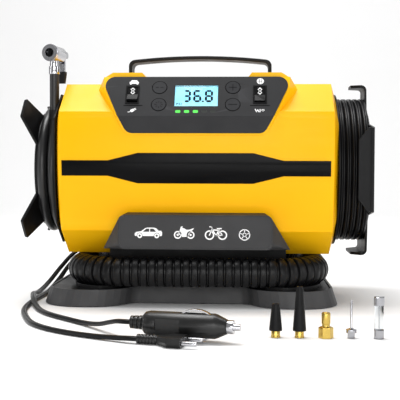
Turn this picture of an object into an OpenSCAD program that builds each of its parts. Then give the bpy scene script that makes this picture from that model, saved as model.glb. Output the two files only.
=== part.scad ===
// Portable tyre inflator: a drum-shaped casing on a flared base, with a console and a strap
// handle on top, a hose reel and a cord reel on its ends, a corrugated hose round its base,
// two supply cords with their plugs, and a set of loose nozzles.
// X runs to the right, Y away from the console side, Z up from the floor.

/* [Drum] */
// Length of the drum between its end faces
drum_len = 248.8; // [220:0.2:300]
// Height of the drum
drum_h = 153.4; // [140:0.2:185]
// Depth of the drum
drum_d = 160; // [145:0.5:190]
// Height of the drum's underside above the floor
drum_z = 43.3; // [43:0.1:52]
// Wall of the casing
wall = 2.6; // [1.8:0.1:3.4]
// Length of the bevel at each end
bevel_len = 5.2; // [3:0.1:9]
// How far that bevel drops inwards
bevel_in = 18; // [12:0.5:22]
// Radius of the curve of the front and back faces
face_r = 191; // [150:1:260]
// Height of that curve's centre above the drum's axis
face_lift = 16; // [8:0.5:20]
// Half depth of the flat top
top_flat = 40; // [32:0.5:44]
// Half depth of the flat underside
under_flat = 33; // [28:0.5:38]

/* [Console] */
// Height of the crease between the console's face and its lip, below the drum's top
crease_drop = 31.1; // [28:0.1:34]
// How far the crease stands in front of the drum's front
crease_out = 4; // [3.5:0.1:6]
// Lean of the console's face away from upright
lean = 30; // [25:1:33]
// Length of the console's face up the slope
face_len = 40.9; // [40:0.1:46]
// Half width of the panel at its widest
panel_half = 81.8; // [80:0.2:88]
// Half width of the panel at the crease
crease_half = 67.2; // [66:0.2:70]
// Thickness of the panel
panel_t = 3; // [2.4:0.1:3.6]
// Width of the display window
lcd_w = 38; // [30:0.5:42]
// Height of the display window up the slope
lcd_h = 22; // [16:0.5:23]
// Diameter of a push button
button_d = 12; // [9:0.2:13]
// Travel of a push button
button_travel = 0.8; // [0.4:0.1:1]
// Clearance of a push button in its hole, all round
button_gap = 0.3; // [0.2:0.05:0.5]
// Width of a rocker switch's opening
rocker_w = 12; // [10:0.2:13]
// Height of a rocker switch's opening
rocker_h = 18.6; // [15:0.2:20]
// Angle that a rocker's face makes with the panel when it is pushed over
rocker_tilt = 10; // [6:1:12]

/* [Handle] */
// Width of the handle over its legs
handle_w = 133.8; // [124:0.2:142]
// Depth of the handle's strap
strap_d = 19.4; // [15:0.2:24]
// Thickness of the strap
strap_t = 3.2; // [2.4:0.1:4]
// Height of the strap's crown above the console's pads
handle_rise = 20.8; // [18:0.2:28]
// How far the handle lifts
handle_lift = 16; // [10:1:18]

/* [Hose reel] */
// Outer diameter of the air hose
hose_d = 8.5; // [7.5:0.1:9]
// Gap between turns that lie side by side
turn_gap = 0.5; // [0.45:0.05:0.9]
// Radius of the reel's core
hose_core_r = 50; // [46:0.5:53]
// Reach of the reel's ears from its axis
hose_ear_r = 77; // [72:0.5:84]
// How far the ears flare outwards, in degrees
ear_flare = 21; // [16:1:32]

/* [Air chuck] */
// Radius of the valve opening
valve_r = 4; // [3.9:0.05:4.3]
// Length of the chuck's head
head_len = 22; // [20:0.5:26]
// Height of the air chuck's axis above the drum's top
chuck_rise = 26.9; // [24:0.1:34]

/* [Cord reel] */
// Width of a supply cord, a flat twin flex
cord_w = 4.8; // [4.4:0.1:5.2]
// Thickness of a supply cord
cord_t = 3.4; // [2.8:0.1:3.6]
// Radius of the cord reel's core, which stands in for the layers under the outer one
cord_core_r = 62.3; // [56:0.1:64.5]
// Distance of the ears' flaps from the reel's axis
cord_ear_r = 78; // [73:0.5:84]

/* [Base] */
// Width of the base at the floor
base_w = 262; // [240:1:290]
// Depth of the base at the floor
base_d = 171; // [160:1:190]
// Height of the base's skirt
base_h = 15; // [13:0.5:17]
// Sideways offset of the base from the drum
base_x = -5.5; // [-8:0.5:0]
// Outer diameter of the corrugated hose
duct_d = 26; // [22:0.5:26.4]
// Half width of the corrugated hose's loop at its centreline
duct_x = 106; // [100:1:112]
// Half depth of the corrugated hose's loop at its centreline
duct_y = 75; // [73:0.5:78]
// Length of one rib and its groove
rib_pitch = 7.4; // [6.8:0.1:9]

/* [Hose ports] */
// Radius of the bore of the inflate and deflate ports
port_r = 10; // [8.5:0.1:10.5]

/* [Compressor] */
// Radius of the cylinder's bore
bore_r = 12; // [11.5:0.1:12.5]
// Throw of the crank
crank_throw = 5.5; // [4:0.5:5.5]
// Teeth of the crank's gear
gear_teeth = 40; // [38:1:40]
// Teeth of the motor's pinion
pinion_teeth = 10; // [9:1:10]
// Radius of the motor's can
motor_r = 23; // [21:0.5:24]
// Running clearance of shafts, pins and the piston
run_gap = 0.05; // [0.02:0.01:0.09]

/* [Hidden] */
$fn = 64;
reach = 400;         // larger than the whole object, for cutting
fit = 0.3;           // clearance between parts that only sit together
end_x = drum_len / 2;
face_y = drum_d / 2;
axis_z = drum_z + drum_h / 2;
top_z = drum_z + drum_h;
floor_z = drum_z + wall;
top_slope = 54;      // angle of the upper bevels' normals above the horizontal
under_slope = 56.3;  // angle of the lower bevels' normals below the horizontal
top_dist = top_flat * cos(top_slope) + drum_h / 2 * sin(top_slope);
under_dist = under_flat * cos(under_slope) + drum_h / 2 * sin(under_slope);

// ---------------------------------------------------------------- helpers

// Outline of a face from one end of the drum to the other, as [x, distance from the axis]
function end_profile(dist, half, taper, inner) = [
    [-half, inner], [-half, dist - taper], [-half + bevel_len, dist],
    [half - bevel_len, dist], [half, dist - taper], [half, inner]
];

// Everything under one flat face of the drum, whose normal leans by an angle from +Y to +Z
module under_flat_face(angle, dist, half, taper) {
    rotate([angle, 0, 0])
        translate([0, 0, -reach / 2])
            linear_extrude(height = reach)
                polygon(end_profile(dist, half, taper, -reach));
}

// Everything under the curved front (side 1) or back (side -1) of the drum
module under_curved_face(side, r, half, taper) {
    translate([0, side * (face_r - face_y), face_lift])
        rotate([0, 90, 0])
            rotate_extrude($fn = 180)
                polygon([for (p = end_profile(r, half, taper, 0)) [p[1], p[0]]]);
}

// The drum, grown outwards by an amount, with its ends at +-half
module drum(grow = 0, half = end_x, taper = bevel_in) {
    translate([0, 0, axis_z])
        intersection() {
            under_curved_face(1, face_r + grow, half, taper);
            under_curved_face(-1, face_r + grow, half, taper);
            under_flat_face(90, drum_h / 2 + grow, half, taper);
            under_flat_face(270, drum_h / 2 + grow, half, taper);
            under_flat_face(180 - top_slope, top_dist + grow, half, taper);
            under_flat_face(top_slope, top_dist + grow, half, taper);
            under_flat_face(180 + under_slope, under_dist + grow, half, taper);
            under_flat_face(-under_slope, under_dist + grow, half, taper);
        }
}

// A plate with the drum's section, between two places along X
module section_plate(inset, x0, x1) {
    intersection() {
        drum(-inset, reach / 2, 0);
        translate([min(x0, x1), -reach / 2, 0])
            cube([abs(x1 - x0), reach, reach]);
    }
}

// A box from one corner to the other
module block(low, high) {
    translate(low)
        cube(high - low);
}

// A rod along X, Y or Z from a start point
module rod_x(p, r, len) {
    translate(p) rotate([0, 90, 0]) cylinder(r = r, h = len);
}
module rod_y(p, r, len) {
    translate(p) rotate([-90, 0, 0]) cylinder(r = r, h = len);
}
module rod_z(p, r, len) {
    translate(p) cylinder(r = r, h = len);
}

// A rectangle with rounded corners, centred
module rounded_rect(w, h, r) {
    offset(r = r, $fn = 32)
        square([w - 2 * r, h - 2 * r], center = true);
}

function unit(v) = v / norm(v);
function clamp01(t) = min(1, max(0, t));
function smooth(t) = clamp01(t) * clamp01(t) * (3 - 2 * clamp01(t));
function tangent(path, i) =
    unit(path[min(i + 1, len(path) - 1)] - path[max(i - 1, 0)]);

// A ring of points round a path's point: half is [half size along side, half size across it]
function ring(p, t, side, half, sides) =
    let (across = unit(cross(t, side)), along = cross(across, t))
    [for (k = [0:sides - 1])
        let (a = 360 * (k + 0.5) / sides)
        p + along * half[0] * cos(a) + across * half[1] * sin(a)];

// A closed skin over rings of equal count. A looped skin joins its last ring to its first.
module skin(rings, looped = false) {
    sides = len(rings[0]);
    count = len(rings);
    points = [for (r = rings) for (p = r) p];
    walls = [
        for (i = [0:count - (looped ? 1 : 2)]) for (k = [0:sides - 1])
            let (
                j = (i + 1) % count,
                a = i * sides + k,
                b = i * sides + (k + 1) % sides,
                c = j * sides + (k + 1) % sides,
                d = j * sides + k
            )
            each [[a, b, c], [a, c, d]]
    ];
    caps = looped ? [] : [
        for (k = [1:sides - 2])
            each [
                [0, k + 1, k],
                [(count - 1) * sides, (count - 1) * sides + k, (count - 1) * sides + k + 1]
            ]
    ];
    polyhedron(points = points, faces = [for (f = concat(walls, caps)) [f[0], f[2], f[1]]]);
}

// A plain tube along a path, with the sideways direction of its section given
module tube(path, half, sides = 8, side = [0, 0, 1]) {
    skin([for (i = [0:len(path) - 1]) ring(path[i], tangent(path, i), side, half, sides)]);
}

// ---------------------------------------------------------------- casing

slot_x = handle_w / 2 - strap_t / 2;
slot_gap = 0.4;
boss_x = end_x - 16;
boss_r = 5;
screw_r = 1.5;
screw_head_r = 3.4;
screw_seat_y = 40;
boss_z = [axis_z + 45, axis_z - 36];
deflate_port = [62, axis_z - 2];
inflate_port = [100, axis_z + 8];
pipe_r = port_r + 2.2;
outlet_y = 19;
outlet_z = axis_z + 33.5;
outlet_r = hose_d / 2 + 0.75;

module casing() {
    difference() {
        drum();
        drum(-wall, end_x - wall);
        for (side = [-1, 1])
            block([side * slot_x - strap_t / 2 - slot_gap, -strap_d / 2 - slot_gap, top_z - 20],
                  [side * slot_x + strap_t / 2 + slot_gap, strap_d / 2 + slot_gap, top_z + 20]);
    }
}

module screw_places() {
    for (x = [-boss_x, boss_x]) for (z = boss_z)
        translate([x, 0, z]) children();
}

module front_shell() {
    boss_front = face_y - wall - 1.5;
    color("gold")
        difference() {
            union() {
                intersection() {
                    casing();
                    translate([-reach / 2, -reach, 0]) cube([reach, reach, reach]);
                }
                intersection() {
                    drum(-wall / 2, end_x - wall / 2);
                    screw_places() rod_y([0, -boss_front, 0], boss_r, boss_front);
                }
            }
            screw_places() rod_y([0, -16, 0], screw_r, 17);
            console_frame() block([-62, 3, -26], [62, 38, 2]);
        }
}

vent_count = 9;
vent_pitch = 7;
vent_w = 3;
vent_h = 34;
vent_x = -86;
vent_z = axis_z - 2;

module rear_shell() {
    boss_back = face_y - wall - 1.5;
    color("gold")
        difference() {
            union() {
                intersection() {
                    casing();
                    translate([-reach / 2, 0, 0]) cube([reach, reach, reach]);
                }
                intersection() {
                    drum(-wall / 2, end_x - wall / 2);
                    screw_places() rod_y([0, 0, 0], boss_r, boss_back);
                }
            }
            screw_places() {
                rod_y([0, -1, 0], screw_r + 0.2, screw_seat_y + 2);
                rod_y([0, screw_seat_y, 0], screw_head_r + 0.4, face_y);
            }
            for (p = [deflate_port, inflate_port])
                rod_y([p[0], face_y / 2, p[1]], pipe_r + fit, face_y);
            for (i = [0:vent_count - 1])
                block([vent_x + i * vent_pitch - vent_w / 2, face_y - 12, vent_z - vent_h / 2],
                      [vent_x + i * vent_pitch + vent_w / 2, face_y + 2, vent_z + vent_h / 2]);
            rod_x([-end_x - 1, outlet_y, outlet_z], outlet_r + 0.1, wall + 2);
        }
}

module shell_screws() {
    color("silver")
        screw_places() {
            rod_y([0, -13, 0], screw_r - 0.1, screw_seat_y + 13);
            difference() {
                rod_y([0, screw_seat_y, 0], screw_head_r, 2.4);
                rod_y([0, screw_seat_y + 1.2, 0], 1.6, 3, $fn = 6);
            }
        }
}

// ---------------------------------------------------------------- console

crease_y = -face_y - crease_out;
crease_z = top_z - crease_drop;
lip_h = 14.6;
lip_in = 1.6;
rim = 1.4;           // how far the pod stands out round the panel
rim_back = 1.2;      // how far its edge lies behind the panel's face
pad_h = 4;
pod_top_y = crease_y + face_len * sin(lean);
pod_top_z = crease_z + face_len * cos(lean);
pad_z = pod_top_z + pad_h;
pod_back_y = 18;

// Puts children in the console's frame: X across, Y up its face, Z out of it, from the crease
module console_frame() {
    translate([0, crease_y, crease_z])
        rotate([90 - lean, 0, 0])
            children();
}

// The panel's outline seen from the front, from the crease's height
function panel_outline(extra) =
    let (
        lower = crease_half - (panel_half - crease_half) * lip_h / (face_len * cos(lean) - 5.3),
        peak = face_len * cos(lean)
    )
    [
        [-lower + 1 - extra, -lip_h - extra], [lower - 1 + extra, -lip_h - extra],
        [crease_half + extra, 0], [panel_half + extra, peak - 5.3],
        [panel_half - 4 + extra, peak + extra], [-panel_half + 4 - extra, peak + extra],
        [-panel_half - extra, peak - 5.3], [-crease_half - extra, 0]
    ];

module panel_front(extra, corner) {
    translate([0, 0, crease_z])
        rotate([90, 0, 0])
            translate([0, 0, -reach / 2])
                linear_extrude(height = reach)
                    offset(r = corner, $fn = 40) offset(delta = -corner)
                        polygon(panel_outline(extra));
}

// The console's bent face as a solid of a thickness, at a depth behind the face
module bent_plate(depth, thick) {
    up = [sin(lean), cos(lean)] * (face_len + 6);
    back = [1 / cos(lean), 0] ;
    lip = [lip_in, -lip_h - 6];
    outer = [lip + [depth, 0], [depth, 0] , up + depth * back];
    inner = [up + (depth + thick) * back, [depth + thick, 0], lip + [depth + thick, 0]];
    translate([0, crease_y, crease_z])
        rotate([90, 0, 90])
            translate([0, 0, -reach / 2])
                linear_extrude(height = reach)
                    polygon(concat(outer, inner));
}

lcd_u = 0.3;
lcd_v = 21;
button_u = 31.9;
button_v = [29.4, 11.6];
rocker_u = 55.3;
rocker_v = 22;
led_count = 5;
led_pitch = 7.56;
led_size = [4.5, 2.9];
led_v = 4.6;

module panel_slab() {
    intersection() {
        bent_plate(0, panel_t);
        panel_front(0, 8);
    }
}

module control_panel() {
    color([0.13, 0.13, 0.14])
        difference() {
            union() {
                panel_slab();
                console_frame()
                    for (u = [-42, 42]) for (v = [15, 34])
                        rod_z([u, v, -8.5], 2, 8.5 - panel_t / 2);
            }
            console_frame() {
                block([lcd_u - lcd_w / 2, lcd_v - lcd_h / 2, -9],
                      [lcd_u + lcd_w / 2, lcd_v + lcd_h / 2, 3]);
                for (u = [-button_u, button_u]) for (v = button_v)
                    rod_z([u, v, -9], button_d / 2 + button_gap, 12);
                for (u = [-rocker_u, rocker_u])
                    block([u - rocker_w / 2, rocker_v - rocker_h / 2, -9],
                          [u + rocker_w / 2, rocker_v + rocker_h / 2, 4]);
                for (i = [0:led_count - 1])
                    translate([(i - (led_count - 1) / 2) * led_pitch, led_v, -9])
                        linear_extrude(height = 12) rounded_rect(led_size[0], led_size[1], 1);
            }
        }
}

module console_pod() {
    color("gold")
        difference() {
            union() {
                hull() {
                    intersection() {
                        bent_plate(rim_back, 1);
                        panel_front(rim, 9);
                        translate([0, 0, pod_top_z - reach / 2])
                            cube([reach, reach, reach], center = true);
                    }
                    block([-panel_half - 8, -top_flat - 6, top_z - 8],
                          [panel_half + 8, pod_back_y, top_z - 7]);
                    block([-panel_half, pod_top_y + 2, pod_top_z - 1],
                          [panel_half, pod_back_y - 8, pod_top_z]);
                }
                for (side = [-1, 1])
                    translate([0, pod_back_y - 8, 0])
                        rotate([90, 0, 0])
                            linear_extrude(height = pod_back_y - 8 - pod_top_y - 3)
                                polygon([
                                    [side * (slot_x - 20), pod_top_z - 1],
                                    [side * (slot_x - 20), pod_top_z],
                                    [side * (slot_x - 17), pad_z],
                                    [side * (slot_x + 9), pad_z],
                                    [side * (panel_half - 1), pod_top_z],
                                    [side * (panel_half - 1), pod_top_z - 1]
                                ]);
            }
            drum();
            intersection() {
                bent_plate(-5, 5 + panel_t);
                panel_front(0.15, 8);
            }
            console_frame() block([-65, 2.5, -30], [65, 38.4, 0]);
            for (side = [-1, 1])
                block([side * slot_x - strap_t / 2 - slot_gap, -strap_d / 2 - slot_gap, top_z - 9],
                      [side * slot_x + strap_t / 2 + slot_gap, strap_d / 2 + slot_gap, top_z + 20]);
        }
}

board_w = -8.5;
board_t = 1.6;

module control_board() {
    color("darkgreen")
        console_frame()
            difference() {
                union() {
                    block([-45, 9, board_w - board_t], [45, 36, board_w]);
                    block([-30, 14, board_w - board_t - 7], [-12, 30, board_w - board_t]);
                    block([14, 16, board_w - board_t - 9], [30, 32, board_w - board_t]);
                    for (u = [-button_u, button_u]) for (v = button_v)
                        block([u - 3, v - 3 + (v < 15 ? 2 : 0), board_w],
                              [u + 3, v + 3 + (v < 15 ? 1 : 0), board_w + 2.4]);
                }
                rod_z([-21, 22, board_w - board_t - 12], 2.2, 6);
            }
}

module lcd_module() {
    color("paleturquoise")
        console_frame()
            block([lcd_u - lcd_w / 2 + 0.3, lcd_v - lcd_h / 2 + 0.3, board_w],
                  [lcd_u + lcd_w / 2 - 0.3, lcd_v + lcd_h / 2 - 0.3, -2.2]);
}

module display_window() {
    color([0.7, 0.9, 1, 0.4])
        console_frame()
            translate([lcd_u, lcd_v, -2.2])
                linear_extrude(height = 1.8)
                    square([lcd_w - 0.02, lcd_h - 0.02], center = true);
}

module led_windows() {
    color("limegreen")
        console_frame()
            for (i = [0:led_count - 1])
                translate([(i - (led_count - 1) / 2) * led_pitch, led_v, -3.2])
                    linear_extrude(height = 3.1)
                        rounded_rect(led_size[0] - 0.05, led_size[1] - 0.05, 1);
}

// A push button, with a collar behind the panel that keeps it in
module push_button(u, v) {
    collar_top = -panel_t - button_travel * 0.1;
    color([0.16, 0.16, 0.17])
        console_frame() {
            rod_z([u, v, collar_top], button_d / 2, 0.3 - collar_top);
            difference() {
                rod_z([u, v, collar_top - 1], button_d / 2 + 0.9, 1);
                block([u - 9, v - 9, -9], [u + 9, min(v + 9, 7.6), 0]);
            }
            rod_z([u, v + (v < 15 ? 1.5 : 0), board_w + 2.4 + button_travel + 0.15],
                  1.5, collar_top - board_w - 2.4 - button_travel - 0.1);
        }
}

module unit_button() {
    push_button(-button_u, button_v[0]);
}
module light_button() {
    push_button(-button_u, button_v[1]);
}
module plus_button() {
    push_button(button_u, button_v[0]);
}
module minus_button() {
    push_button(button_u, button_v[1]);
}

rocker_axis_w = -3.4;
rocker_pin_r = 1.2;
housing_depth = 13;
housing_wall = 1.2;

// A rocker's actuator about its own pivot, with a face bent at the middle
module rocker(u) {
    half_v = rocker_h / 2 - housing_wall - 1.1;
    half_u = rocker_w / 2 - housing_wall - 0.25;
    face = -rocker_axis_w + 0.2;
    drop = half_v * tan(rocker_tilt);
    color([0.1, 0.1, 0.1])
        console_frame()
            translate([u, rocker_v, rocker_axis_w])
                rotate([90, 0, 90]) {
                    translate([0, 0, -half_u])
                        linear_extrude(height = 2 * half_u)
                            polygon([
                                [-half_v + 1, -1], [-half_v, face - 1.2], [-half_v, face + 1.1],
                                [0, face - 0.6], [half_v, face + 1.1], [half_v, face - 1.2],
                                [half_v - 1, -1], [2, -3.4], [-2, -3.4]
                            ]);
                    translate([0, 0, -rocker_w / 2 + 0.5])
                        cylinder(r = rocker_pin_r, h = rocker_w - 1);
                }
}

module power_rocker() {
    console_frame() translate([0, rocker_v, rocker_axis_w])
        rotate([-rocker_tilt, 0, 0])
            translate([0, -rocker_v, -rocker_axis_w])
                inverse_console() rocker(-rocker_u);
}
module pump_rocker() {
    rocker(rocker_u);
}

// Undoes console_frame, so that a part drawn in it can be turned there
module inverse_console() {
    rotate([lean - 90, 0, 0])
        translate([0, -crease_y, -crease_z])
            children();
}

module switch_housings() {
    color([0.08, 0.08, 0.08])
        console_frame()
            for (u = [-rocker_u, rocker_u])
                difference() {
                    block([u - rocker_w / 2 + 0.02, rocker_v - rocker_h / 2 + 0.02, -housing_depth],
                          [u + rocker_w / 2 - 0.02, rocker_v + rocker_h / 2 - 0.02, 0.5]);
                    block([u - rocker_w / 2 + housing_wall, rocker_v - rocker_h / 2 + housing_wall, -8.6],
                          [u + rocker_w / 2 - housing_wall, rocker_v + rocker_h / 2 - housing_wall, 2]);
                    rod_x([u - rocker_w / 2 + 0.4, rocker_v, rocker_axis_w],
                          rocker_pin_r + run_gap, rocker_w - 0.8);
                }
}

// ---------------------------------------------------------------- stripe and icon panel

stripe_t = 0.7;

module center_stripe() {
    wide = 26.3;
    narrow = 13.3;
    color([0.1, 0.1, 0.1])
        intersection() {
            difference() {
                drum(stripe_t);
                drum();
            }
            translate([0, 0, axis_z + 0.75])
                rotate([90, 0, 0])
                    linear_extrude(height = reach)
                        polygon([
                            [-end_x + 8, -narrow / 2], [-76, -narrow / 2], [-50, -wide / 2],
                            [50, -wide / 2], [76, -narrow / 2], [end_x - 8, -narrow / 2],
                            [end_x - 8, narrow / 2], [76, narrow / 2], [50, wide / 2],
                            [-50, wide / 2], [-76, narrow / 2], [-end_x + 8, narrow / 2]
                        ]);
        }
}

icon_y = -face_y - 2;
icon_z = [floor_z + 4.8, floor_z + 34.6];
icon_half = 67;

module icon_housing() {
    color([0.22, 0.22, 0.23])
        difference() {
            hull() {
                translate([0, icon_y + 1, (icon_z[0] + icon_z[1]) / 2])
                    rotate([90, 0, 0])
                        linear_extrude(height = 1)
                            rounded_rect(2 * icon_half, icon_z[1] - icon_z[0], 6);
                translate([0, -face_y + 25, 0])
                    rotate([90, 0, 0])
                        linear_extrude(height = 4)
                            polygon([[-83, icon_z[0] - 1.5], [83, icon_z[0] - 1.5],
                                     [56, icon_z[1] + 4], [-56, icon_z[1] + 4]]);
            }
            drum();
            translate([0, icon_y + 0.8, (icon_z[0] + icon_z[1]) / 2])
                rotate([90, 0, 0])
                    linear_extrude(height = 3)
                        rounded_rect(2 * icon_half - 3, icon_z[1] - icon_z[0] - 2.4, 5);
        }
}

module icon_plate() {
    color([0.27, 0.27, 0.28])
        translate([0, icon_y + 0.8, (icon_z[0] + icon_z[1]) / 2])
            rotate([90, 0, 0])
                linear_extrude(height = 0.9)
                    rounded_rect(2 * icon_half - 3.1, icon_z[1] - icon_z[0] - 2.5, 5);
}

// ---------------------------------------------------------------- base and corrugated hose

sole_t = 2.8;
lobe_w = 80;
waist = 54;
skirt_z = 0.8;
skirt_wall = 2.4;
ledge_z = drum_z - duct_d + 0.6;
duct_z = ledge_z + duct_d / 2 * cos(22.5) + 0.05;
duct_corner = 44;
cuff_gap = 26;

// Plan of the base: two rounded lobes and a narrower waist
module base_plan(inset) {
    offset(r = -10 - inset, $fn = 48) offset(r = 10, $fn = 48)
        union() {
            for (side = [-1, 1])
                translate([side * (base_w / 2 - lobe_w / 2), 0])
                    rounded_rect(lobe_w, base_d, 36);
            square([base_w - lobe_w, base_d - waist], center = true);
        }
}

module base_pan() {
    color([0.2, 0.2, 0.21])
        translate([base_x, 0, 0]) {
            difference() {
                translate([0, 0, skirt_z])
                    linear_extrude(height = base_h - skirt_z, scale = 0.966)
                        base_plan(0);
                translate([0, 0, skirt_z - 1])
                    linear_extrude(height = base_h + 2, scale = 0.966)
                        base_plan(skirt_wall);
            }
            translate([0, 0, sole_t]) linear_extrude(height = 2.4) base_plan(2);
        }
}

module rubber_sole() {
    color([0.05, 0.05, 0.05])
        translate([base_x, 0, 0])
            linear_extrude(height = sole_t)
                difference() {
                    base_plan(6);
                    for (side = [-1, 1])
                        translate([0, side * base_d / 2]) square([130, 84], center = true);
                }
}

module hose_cradle() {
    guide = [duct_x - duct_d / 2 - 3, duct_y - duct_d / 2 - 2];
    color([0.06, 0.06, 0.06])
        difference() {
            union() {
                translate([base_x, 0, sole_t + 2.4]) {
                    linear_extrude(height = base_h - sole_t - 2.4 - 0.3) base_plan(7.5);
                }
                translate([0, 0, base_h - 2])
                    linear_extrude(height = ledge_z - base_h + 2)
                        intersection() {
                            rounded_rect(2 * duct_x + 12, 2 * duct_y + 10, duct_corner);
                            translate([base_x, 0]) base_plan(7.5);
                        }
                translate([0, 0, ledge_z - 1])
                    linear_extrude(height = 13)
                        rounded_rect(2 * guide[0], 2 * guide[1], duct_corner - duct_d / 2);
                block([-80, -under_flat - 8, ledge_z], [80, under_flat + 8, drum_z + 6]);
            }
            drum();
            translate([0, 0, base_h + 1])
                linear_extrude(height = 60)
                    difference() {
                        rounded_rect(2 * guide[0] - 6, 2 * guide[1] - 6, 24);
                        square([166, 2 * under_flat + 22], center = true);
                    }
            block([-76, -under_flat, base_h - 6], [76, under_flat, drum_z - 4]);
        }
}

// The corrugated hose's centreline: a rounded loop with its gap at the back
duct_runs = [
    duct_x - duct_corner - cuff_gap, 90 * duct_corner * PI / 180,
    2 * (duct_y - duct_corner), 90 * duct_corner * PI / 180
];
duct_half = duct_runs[0] + duct_runs[1] + duct_runs[2] + duct_runs[3] + duct_x - duct_corner;

function duct_quarter(s) =
    s < duct_runs[0] ? [cuff_gap + s, duct_y]
    : s < duct_runs[0] + duct_runs[1]
        ? let (a = (s - duct_runs[0]) / duct_corner * 180 / PI)
          [duct_x - duct_corner + duct_corner * sin(a), duct_y - duct_corner + duct_corner * cos(a)]
    : s < duct_runs[0] + duct_runs[1] + duct_runs[2]
        ? [duct_x, duct_y - duct_corner - (s - duct_runs[0] - duct_runs[1])]
    : s < duct_runs[0] + duct_runs[1] + duct_runs[2] + duct_runs[3]
        ? let (a = (s - duct_runs[0] - duct_runs[1] - duct_runs[2]) / duct_corner * 180 / PI)
          [duct_x - duct_corner + duct_corner * cos(a), -duct_y + duct_corner - duct_corner * sin(a)]
    : [duct_half - s, -duct_y];

function duct_at(s) =
    let (
        right = s <= duct_half,
        p = duct_quarter(right ? s : 2 * duct_half - s)
    )
    [right ? p[0] : -p[0], p[1], duct_z];

module corrugated_hose() {
    ribs = round(2 * duct_half / rib_pitch);
    step = 2 * duct_half / (2 * ribs);
    outer = [for (i = [0:2 * ribs]) i * step];
    bores = round(0.6 * ribs);
    inner = [for (i = [0:bores]) i * 2 * duct_half / bores];
    function at(s, r) =
        ring(duct_at(s), unit(duct_at(min(s + 1, 2 * duct_half)) - duct_at(max(s - 1, 0))),
             [0, 0, 1], [r, r], 8);
    color([0.07, 0.07, 0.07])
        skin(concat(
            [for (i = [0:len(outer) - 1]) at(outer[i], duct_d / 2 - (i % 2 == 0 ? 2 : 0))],
            [for (i = [len(inner) - 1:-1:0]) at(inner[i], duct_d / 2 - 3.6)]
        ), looped = true);
}

// A collar on each end of the corrugated hose
module hose_cuffs() {
    color([0.12, 0.12, 0.12])
        for (side = [-1, 1])
            difference() {
                union() {
                    rod_x([side * cuff_gap - (side > 0 ? 14 : 2), duct_y, duct_z], duct_d / 2 - 4.6, 16);
                    rod_x([side * cuff_gap - (side > 0 ? 14 : -0.6), duct_y, duct_z],
                          duct_d / 2, 13.4);
                }
                rod_x([side * cuff_gap - 20, duct_y, duct_z], duct_d / 2 - 6, 40);
            }
}

// The inflate and deflate ports at the back, each a spigot on the blower's duct
module hose_ports() {
    color([0.1, 0.1, 0.1])
        difference() {
            union() {
                for (p = [deflate_port, inflate_port]) {
                    rod_y([p[0], face_y - 22, p[1]], pipe_r, 30);
                    rod_y([p[0], face_y + 1.2, p[1]], pipe_r + 4, 2);
                }
            }
            for (p = [deflate_port, inflate_port])
                rod_y([p[0], face_y - 23, p[1]], port_r, 40);
        }
}

// ---------------------------------------------------------------- hose reel and air hose

loop_rings = 24;     // rings in one turn of a wound hose or cord
reel_flange_x = -end_x - 1.25;
hose_x = [reel_flange_x - 0.3 - hose_d / 2, reel_flange_x - 0.3 - 1.5 * hose_d - turn_gap];
hose_r = (hose_core_r + 0.4) / cos(180 / loop_rings) + hose_d / 2;
hose_face_x = hose_x[1] - hose_d / 2 - 0.8;
ear_t = 2.4;
ear_angles = [45, 135, 225, 315];

// One ear of the hose reel: a tapered tongue that flares outwards
module hose_ear(angle) {
    inner = hose_core_r;
    length = (hose_ear_r - inner) / cos(ear_flare);
    rotate([angle, 0, 0])
        translate([hose_face_x - ear_t, 0, inner])
            rotate([0, -ear_flare, 0])
                rotate([0, 90, 0])
                    linear_extrude(height = ear_t)
                        offset(r = 2, $fn = 16)
                            polygon([
                                [2, -17], [-length + 2, -10], [-length + 2, 10], [2, 17]
                            ]);
}

module hose_reel() {
    color([0.08, 0.08, 0.08])
        difference() {
            union() {
                section_plate(9, reel_flange_x, -end_x - 0.02);
                translate([0, 0, axis_z]) {
                    rod_x([hose_face_x, 0, 0], hose_core_r, reel_flange_x - hose_face_x + 0.1);
                    rod_x([hose_face_x - ear_t, 0, 0], hose_core_r + 3, ear_t);
                    for (a = ear_angles) hose_ear(a);
                }
                block([chuck[0] + 3, chuck[1] - 6, axis_z + 44], [-end_x - 0.02, chuck[1] + 6, axis_z + 53]);
                rod_z([chuck[0], chuck[1], axis_z + 44], hose_d / 2 + 1, 9);
            }
            rod_z([chuck[0], chuck[1], axis_z + 40], hose_d / 2 + 0.15, 20);
            block([chuck[0] - 12, chuck[1] - 3.2, axis_z + 40], [chuck[0], chuck[1] + 3.2, axis_z + 60]);
            rod_x([hose_face_x - 0.2, 0, axis_z], hose_core_r - 3, reach);
            rod_x([reel_flange_x - 1, outlet_y, outlet_z], outlet_r + 0.1, 20);
            hose_passage();
        }
}

// Window in the reel's core that the hose comes out through
module hose_passage() {
    translate([hose_x[1], 0, axis_z])
        rotate([0, 90, 0])
            linear_extrude(height = hose_d + 3, center = true)
                polygon([[-26, 36], [-26, 60], [30, 60], [30, 36]]);
}

// The stored hose: out of its elbow inside the core, round the core, then up to the chuck.
// Angles are taken from the rear (+Y) towards the top; the hose runs towards falling angles.
chuck = [hose_x[0] + 0.5, -45.5, top_z + chuck_rise];
stem_z = chuck[2] - 18.5;
lead_angle = 60;
lead_end = -30;
leave_angle = -562;
hub_r = norm([outlet_y, outlet_z - axis_z]);

function hose_point(a) =
    let (
        r = hose_r - (hose_r - hub_r) * smooth((a - lead_end) / (lead_angle - lead_end)),
        x = hose_x[1] + (hose_x[0] - hose_x[1]) * smooth((-270 - a) / 90)
    )
    [x, r * cos(a), axis_z + r * sin(a)];

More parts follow.
